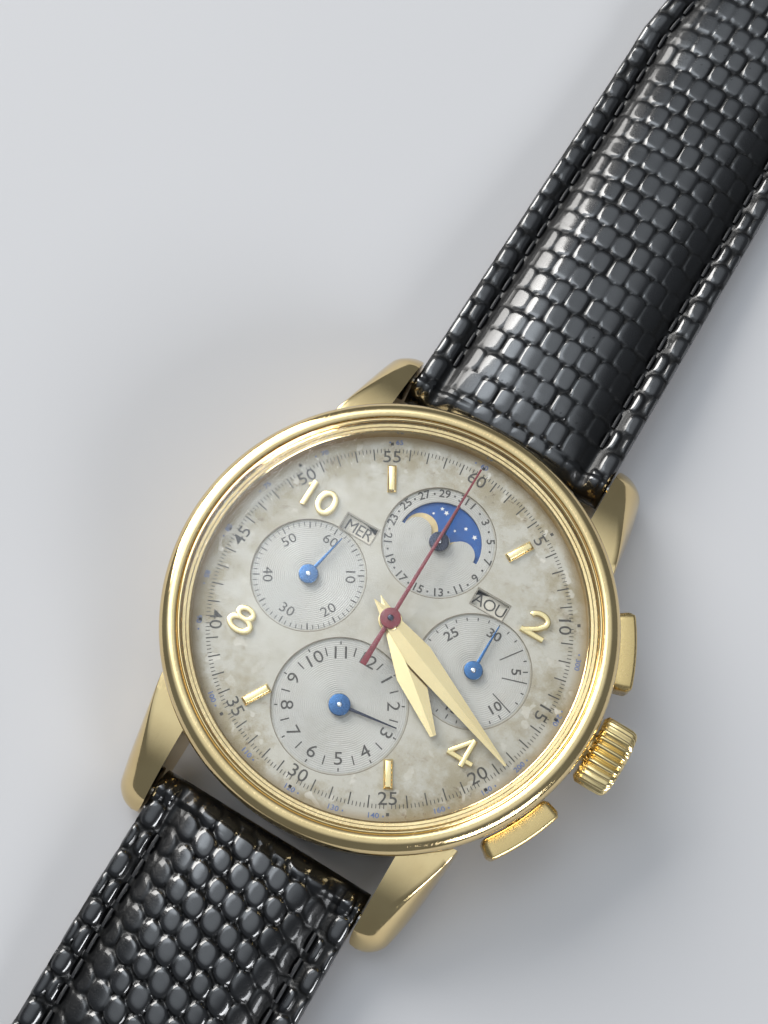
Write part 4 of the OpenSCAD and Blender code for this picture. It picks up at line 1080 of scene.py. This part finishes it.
def strap_half(length_points, half_width, top_mid, top_rim, under, relief, lattice, tilt, name):
    """Rolls and carries the grid, then raises the scales, whose heights are kept on the vertices."""
    along_count = len(length_points) - 1
    y = np.array(length_points)
    w = np.array([half_width(v) for v in y])
    mid = np.array([top_mid(v) for v in y])
    rim = np.array([top_rim(v) for v in y])
    low = np.array([under(v) for v in y])
    fade = relief_fade(y)
    xs, zs = np.zeros((AROUND, along_count + 1)), np.zeros((AROUND, along_count + 1))
    heights = np.full_like(xs, 0.6)
    edge_top = rim - 0.35
    for i in range(TOP + 1):
        x = (-1 + 2 * i / TOP) * w
        from_edge = w - np.abs(x)
        pad = np.clip((from_edge - MARGIN - 0.45) / np.maximum((w - MARGIN) * 0.78, 0.1), 0, 1)
        pillow = np.sin(pad * math.pi / 2) ** 0.95
        trough = np.exp(-((from_edge - MARGIN - 0.6) / 0.65) ** 2)
        z = rim + (mid - rim) * pillow - 0.46 * trough * fade - 0.35 * np.exp(-from_edge / 0.2)
        field = scale_field(x, y + tilt * x, *lattice)
        margin = scale_field(from_edge - MARGIN + 40 * 1.7 + np.sign(x) * 3.4, y, *MARGIN_LATTICE)
        slope = np.clip((from_edge - MARGIN - 0.6) / 3.2, 0, 1)
        heights[i] = np.where(from_edge > MARGIN + 0.15, field * (0.25 + 0.75 * slope), margin * 0.9)
        xs[i] = x
        zs[i] = np.maximum(z + (heights[i] - 0.7) * relief * fade, low + 0.3 * (rim - low))
    for k in range(1, SIDE + 1):
        share = k / (SIDE + 1)
        for i, side in ((TOP + k, 1), (AROUND - k, -1)):
            xs[i] = side * (w + 0.06 * math.sin(math.pi * share))
            zs[i] = edge_top + (low - edge_top) * share
    for k in range(UNDER):
        xs[TOP + SIDE + 1 + k] = w * (1 - 2 * (k + 0.5) / UNDER)
        zs[TOP + SIDE + 1 + k] = low
    bm = wrapped_grid(AROUND, along_count, lambda i, j: Vector((xs[i, j], y[j], zs[i, j])))
    layer = bm.verts.layers.float.new("scale_height")
    kept = {(round(float(xs[i, j]), 3), round(float(y[j]), 3)): heights[i, j]
            for i in range(TOP + 1) for j in range(along_count + 1)}
    for vert in bm.verts:
        key = (round(vert.co.x, 3), round(vert.co.y, 3))
        vert[layer] = kept.get(key, 0.6) if vert.co.z > 0.3 else 0.6
    print(name, "grid", AROUND, "by", along_count)
    return bm


def relief_fade(y):
    """The relief is pressed flat close round the spring bar."""
    return np.clip((np.asarray(y) - 18.5) / 0.9, 0.1, 1)


def between(points):
    """A smooth line through (y, value) points."""
    px, py = zip(*points)

    def value(y):
        return float(np.interp(y, px, py))

    return value


# %% Upper half
BUCKLE_Y = 95.3
KEEPER_LIFT = 1.15


def loop_top(y, base):
    """The lug end rolls round its spring bar."""
    if y < BAR_Y:
        return BAR_Z + math.sqrt(max(0.0, 4.0 - (y - BAR_Y) ** 2))
    return base


def loop_under(y, base):
    if y < BAR_Y:
        return BAR_Z - math.sqrt(max(0.0, 4.0 - (y - BAR_Y) ** 2))
    return base


def end_round(y, end, low, high, sign):
    """Rounds the buckle end off."""
    middle, half = (low + high) / 2, (high - low) / 2
    past = max(0.0, y - end) / 1.1
    return middle + sign * half * math.sqrt(max(0.0, 1 - past * past))


upper_mid = between([(20.3, 5.0), (21.5, 5.2), (24, 5.35), (30, 5.2), (40, 4.5), (50, 3.85), (60, 3.35), (70, 3.3),
                     (95, 3.3)])
upper_rim = between([(20.3, 4.6), (24, 4.25), (30, 3.95), (40, 3.2), (50, 2.6), (60, 2.35), (70, 3.0), (95, 3.0)])
upper_low = between([(20.3, 1.0), (25, 0.4), (30, 0.02), (66.5, 0.02), (70.5, 1.17), (95, 1.17)])
upper_width = between([(18, 9.3), (63, 9.35), (73, 7.95), (97, 7.95)])


def upper_top_at(y, line):
    return end_round(y, BUCKLE_Y, KEEPER_LIFT, line(95), 1) if y > BUCKLE_Y else loop_top(y, line(y))


def upper_under_at(y):
    return end_round(y, BUCKLE_Y, KEEPER_LIFT, 3.3, -1) if y > BUCKLE_Y else loop_under(y, upper_low(y))


def strap_stations(start, seen, end, fine, coarse, round_in, round_out):
    """Stations along the strap: close together near the case and where the ends round over."""
    first = [start + round_in * (1 - math.cos(a)) for a in np.linspace(0, math.pi / 2, 12)]
    last = [end - round_out * (1 - math.cos(a)) for a in np.linspace(math.pi / 2, 0, 8)]
    near = np.linspace(first[-1], seen, round((seen - first[-1]) / fine) + 1)
    far = np.linspace(seen, last[0], round((last[0] - seen) / coarse) + 1)
    return first + list(near[1:]) + list(far[1:-1]) + last


upper_y = strap_stations(18.32, 64, BUCKLE_Y + 1.08, 0.14, 0.24, 2.0, 1.0)
upper_skin = strap_half(upper_y, upper_width, lambda y: upper_top_at(y, upper_mid),
                        lambda y: upper_top_at(y, upper_rim), upper_under_at, 0.2,
                        (1.75, 2.3, 1.02, 3.6, 4.6, 0.13, 3), 0.03, "upper strap")

# %% Lower half
TIP_Y = 135.3
lower_mid = between([(20.3, 5.0), (22, 5.1), (25, 5.15), (30, 4.9), (40, 3.9), (52, 2.9), (62, 2.45), (135, 2.2)])
lower_rim = between([(20.3, 4.6), (24, 4.1), (30, 3.6), (40, 2.7), (52, 2.2), (62, 2.1), (135, 1.95)])
lower_low = between([(20.3, 1.0), (25, 0.4), (30, 0.02), (136, 0.02)])
lower_taper = between([(18, 9.3), (30, 9.35), (123, 8.0), (136, 8.0)])


def lower_width(y):
    past = min(1.0, max(0.0, (y - (TIP_Y - 12)) / 12))
    return max(0.05, lower_taper(y) * math.sqrt(max(0.0, 1 - past * past)))


def lower_top_at(y, line):
    return end_round(y, TIP_Y - 0.8, 0.02, line(130), 1) if y > TIP_Y - 0.8 else loop_top(y, line(y))


def lower_under_at(y):
    return end_round(y, TIP_Y - 0.8, 0.02, 2.0, -1) if y > TIP_Y - 0.8 else loop_under(y, lower_low(y))


lower_y = strap_stations(18.32, 46, TIP_Y - 0.02, 0.14, 0.25, 2.0, 2.5)
lower_skin = strap_half(lower_y, lower_width, lambda y: lower_top_at(y, lower_mid),
                        lambda y: lower_top_at(y, lower_rim), lower_under_at, 0.36,
                        (1.8, 1.95, 1.06, 2.4, 2.6, 0.1, 11), -0.2, "lower strap")
bmesh.ops.scale(lower_skin, vec=(1, -1, 1), verts=lower_skin.verts)
bmesh.ops.reverse_faces(lower_skin, faces=lower_skin.faces)


# %% Skin, edge and lining
def dress_strap(bm):
    """Material numbers: 0 the skin, 1 the painted edge, 2 the lining."""
    bm.normal_update()
    for face in bm.faces:
        if face.normal.z < -0.6:
            face.material_index = 2
        elif face.normal.z < 0.15 and abs(face.normal.x) > 0.7:
            face.material_index = 1


for skin, body in ((upper_skin, "upper_strap"), (lower_skin, "lower_strap")):
    dress_strap(skin)
    half = finish_piece(body + "_skin", skin, [lizard_skin, edge_paint, lining_calf], body, [body],
                        70)


# %% Stitches
def stitch_line(width_at, top_at, y0, y1, flip, trough=0.38):
    """Short thread loops in the sunken line on both sides."""
    parts = []
    y = y0
    while y < y1:
        for side in (-1, 1):
            path = []
            for k in range(5):
                here = y + 1.5 * k / 4
                x = side * (width_at(here) - MARGIN - 0.5)
                lift = 0.14 * math.sin(math.pi * k / 4)
                path.append((x, flip * here, top_at(here) - trough - 0.04 + lift))
            parts.append(wire(path, 0.14, 1))
        y += 2.15
    return join(*parts)


upper_thread = stitch_line(upper_width, upper_rim, 23.0, 92.0, 1)
finish_piece("upper_strap_thread", upper_thread, black_thread, "upper_strap", sharp=60)
lower_thread = stitch_line(lower_width, lower_rim, 23.0, 120.0, -1)
finish_piece("lower_strap_thread", lower_thread, black_thread, "lower_strap", sharp=60)


# %% [markdown]
# ## Keepers and buckle
# The keepers are plain leather loops, and the pin buckle is a bent wire frame with a flat tongue. A keeper is a
# band carried round a closed rounded path; the frame is the same idea with an open path.

# %% Keepers
KEEPER_W, KEEPER_T = 4.0, 1.0


def keeper(node, body):
    lo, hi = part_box(node)
    width, height = (hi.x - lo.x) / MM, (hi.z - lo.z) / MM
    middle_y = (lo.y + hi.y) / 2 / MM
    path = round_rect(width - KEEPER_T, height - KEEPER_T, 1.0, 9)
    section = round_rect(KEEPER_T, KEEPER_W, 0.32, 3)

    def point(i, j):
        x, z = path[j]
        before, after = path[j - 1], path[(j + 1) % len(path)]
        normal = Vector((after[1] - before[1], before[0] - after[0])).normalized()
        off, along = section[i]
        return Vector((x + normal.x * off, middle_y + along, height / 2 + z + normal.y * off))

    band_mesh = wrapped_grid(len(section), len(path), point, loop=True)
    finish_piece(node + "_loop", band_mesh, keeper_leather, body, [node], 50)


keeper("fixed_keeper", "upper_strap")
keeper("sliding_keeper", "sliding_keeper")

# %% Buckle frame
frame_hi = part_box("buckle_frame")[1]
RAIL_Y = frame_hi.y / MM - 1.0
ARM_X = frame_hi.x / MM - 0.75
BAR_HEIGHT = KEEPER_LIFT + 1.1


def buckle_path():
    """From the left end of the bar, round the rail, to the right end."""
    corner = 1.6
    points = [(-ARM_X, BUCKLE_Y - 0.9)]
    points += [(-ARM_X, y) for y in np.linspace(BUCKLE_Y, RAIL_Y - corner, 8)]
    points += [(-ARM_X + corner + corner * math.cos(a), RAIL_Y - corner + corner * math.sin(a))
               for a in np.linspace(math.pi, math.pi / 2, 7)[1:]]
    points += [(x, RAIL_Y) for x in np.linspace(-ARM_X + corner, ARM_X - corner, 10)[1:]]
    points += [(ARM_X - corner + corner * math.cos(a), RAIL_Y - corner + corner * math.sin(a))
               for a in np.linspace(math.pi / 2, 0, 7)[1:]]
    points += [(ARM_X, y) for y in np.linspace(RAIL_Y - corner, BUCKLE_Y, 8)[1:]]
    points += [(ARM_X, BUCKLE_Y - 0.9)]
    return points


def frame_point(i, j):
    path = buckle_path()
    x, y = path[j]
    before, after = path[max(j - 1, 0)], path[min(j + 1, len(path) - 1)]
    normal = Vector((after[1] - before[1], before[0] - after[0])).normalized()
    off, up = round_rect(1.45, 1.85, 0.6, 4)[i]
    t = min(1.0, max(0.0, (y - BUCKLE_Y) / (RAIL_Y - BUCKLE_Y)))
    height = BAR_HEIGHT + (0.97 - BAR_HEIGHT) * t
    end = 0.45 if j in (0, len(path) - 1) else 1.0
    return Vector((x + normal.x * off * end, y + normal.y * off * end, height + up * end))


frame_mesh = wrapped_grid(20, len(buckle_path()) - 1, frame_point)
bar = bmesh.new()
bmesh.ops.create_cone(bar, cap_ends=True, segments=24, radius1=0.55, radius2=0.55, depth=2 * ARM_X)
moved(bar, Matrix.Translation((0, BUCKLE_Y, BAR_HEIGHT)) @ Matrix.Rotation(math.pi / 2, 4, "Y"))
finish_piece("buckle_frame_bent", join(frame_mesh, bar), case_gold, "buckle_frame", ["buckle_frame"],
             50)

# %% Buckle tongue
tongue_side = (
    arc(BUCKLE_Y, BAR_HEIGHT, 1.1, 60, 320, 16)
    + [(BUCKLE_Y + 1.6, 1.78), (RAIL_Y - 1.3, 2.06), (RAIL_Y + 0.8, 2.06), (RAIL_Y + 1.05, 2.3),
       (RAIL_Y + 0.5, 2.72), (BUCKLE_Y + 4, 2.9), (BUCKLE_Y + 2, 2.95)])
tongue = plate(tongue_side, -0.8, 1.6)
bmesh.ops.bevel(tongue, geom=[e for e in tongue.edges if e.calc_face_angle(0) > 1.0], offset=0.18, segments=3,
                affect="EDGES", profile=0.5, material=-1)
to_side = Matrix(((0, 0, 1, 0), (1, 0, 0, 0), (0, 1, 0, 0), (0, 0, 0, 1)))
moved(tongue, to_side)
finish_piece("buckle_tongue_bent", tongue, case_gold, "buckle_tongue", ["buckle_tongue"], 30)

# %% [markdown]
# ## Finishes for the CAD nodes that stay
# The movement, the dial's blank, the calendar discs and the small steel parts keep their CAD meshes, which are
# exact. Each takes the finish that the real part has.

# %% Dress the CAD nodes
finishes = {
    dial_lacquer: ["dial"],
    case_gold: ["case_tubes", "date_corrector", "day_corrector", "moon_corrector"],
    polished_steel: ["spring_bars", "winding_stem", "winding_pinion", "crown_wheel", "ratchet_wheel",
                     "escape_wheel", "pallet_fork", "column_wheel", "coupling_lever", "reset_hammer"],
    gilt_brass: ["movement_ring", "mainspring_barrel", "center_wheel", "third_wheel", "fourth_wheel",
                 "balance_wheel", "minute_wheel", "hour_wheel", "chronograph_wheel",
                 "minute_recorder_wheel", "hour_recorder_wheel", "date_wheel"],
    rhodium_plate: ["main_plate", "barrel_bridge", "train_bridge", "balance_cock", "chronograph_bridge"],
    blued_steel: ["movement_screws", "hairspring"],
    ruby: ["jewels"],
    seal_rubber: ["crown_seal"],
    moon_blue: ["moon_disc"],
    disc_white: ["day_disc", "month_disc"],
}
for material, names in finishes.items():
    for name in names:
        cad_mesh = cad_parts[name].data
        cad_mesh.materials.clear()
        cad_mesh.materials.append(material)
print("dressed", sum(len(names) for names in finishes.values()), "CAD nodes")

# %% [markdown]
# ## Floor and light
# A plain pale floor, and soft light that suits a polished watch: a broad lamp far out on the left, a weaker one on
# the right, and a dim room with two soft-edged bright patches overhead. Gold and black leather need something
# dark to reflect as well as something bright, so the rest of the room is far darker than the patches.

# %% Floor
floor_mesh = bpy.data.meshes.new("floor")
bm = bmesh.new()
bmesh.ops.create_grid(bm, x_segments=1, y_segments=1, size=3)
bm.to_mesh(floor_mesh)
bm.free()
floor_paint, tree, shader = new_material("floor_paint", Base_Color=(0.42, 0.42, 0.43), Roughness=0.75)
floor_mesh.materials.append(floor_paint)
floor = bpy.data.objects.new("floor", floor_mesh)
bpy.context.scene.collection.objects.link(floor)


# %% Lights
def softbox(name, place, target, size, power, colour=(1, 1, 1)):
    data = bpy.data.lights.new(name, "AREA")
    data.shape = "RECTANGLE"
    data.size, data.size_y = size
    data.energy = power
    data.color = colour
    light = bpy.data.objects.new(name, data)
    bpy.context.scene.collection.objects.link(light)
    light.location = place
    light.rotation_euler = (Vector(target) - Vector(place)).to_track_quat("-Z", "Y").to_euler()
    return light


softbox("key_window", (-1.22, 0.47, 0.76), (0, 0, 0), (1.1, 0.8), 33.0, (1.0, 0.98, 0.95))
softbox("side_window", (1.1, -0.5, 0.62), (0, 0, 0), (0.62, 0.45), 12.0, (0.95, 0.97, 1.0))


# %% Room
def glow(tree, direction, toward, low, high, strength):
    """A soft-edged patch of light round one direction of the room."""
    aim = tree.nodes.new("ShaderNodeVectorMath")
    aim.operation = "DOT_PRODUCT"
    tree.links.new(direction, aim.inputs[0])
    aim.inputs[1].default_value = Vector(toward).normalized()
    patch = tree.nodes.new("ShaderNodeMapRange")
    patch.interpolation_type = "SMOOTHSTEP"
    patch.inputs["From Min"].default_value = low
    patch.inputs["From Max"].default_value = high
    patch.inputs["To Max"].default_value = strength
    tree.links.new(aim.outputs["Value"], patch.inputs["Value"])
    return patch.outputs["Result"]


world = bpy.data.worlds.new("room")
world.use_nodes = True
tree = world.node_tree
direction = tree.nodes.new("ShaderNodeTexCoord").outputs["Generated"]
ceiling = glow(tree, direction, (-0.2, 0.15, 0.96), 0.70, 0.98, 0.85)
window = glow(tree, direction, (-0.46, 0.24, 0.85), 0.92, 0.985, 2.3)
level = math_node(tree, "ADD", math_node(tree, "ADD", ceiling, window), 0.2)
background = tree.nodes["Background"]
background.inputs["Color"].default_value = (0.86, 0.93, 1.0, 1)
tree.links.new(level, background.inputs["Strength"])
bpy.context.scene.world = world
bpy.context.scene.view_settings.view_transform = "Standard"
bpy.context.scene.view_settings.look = "None"
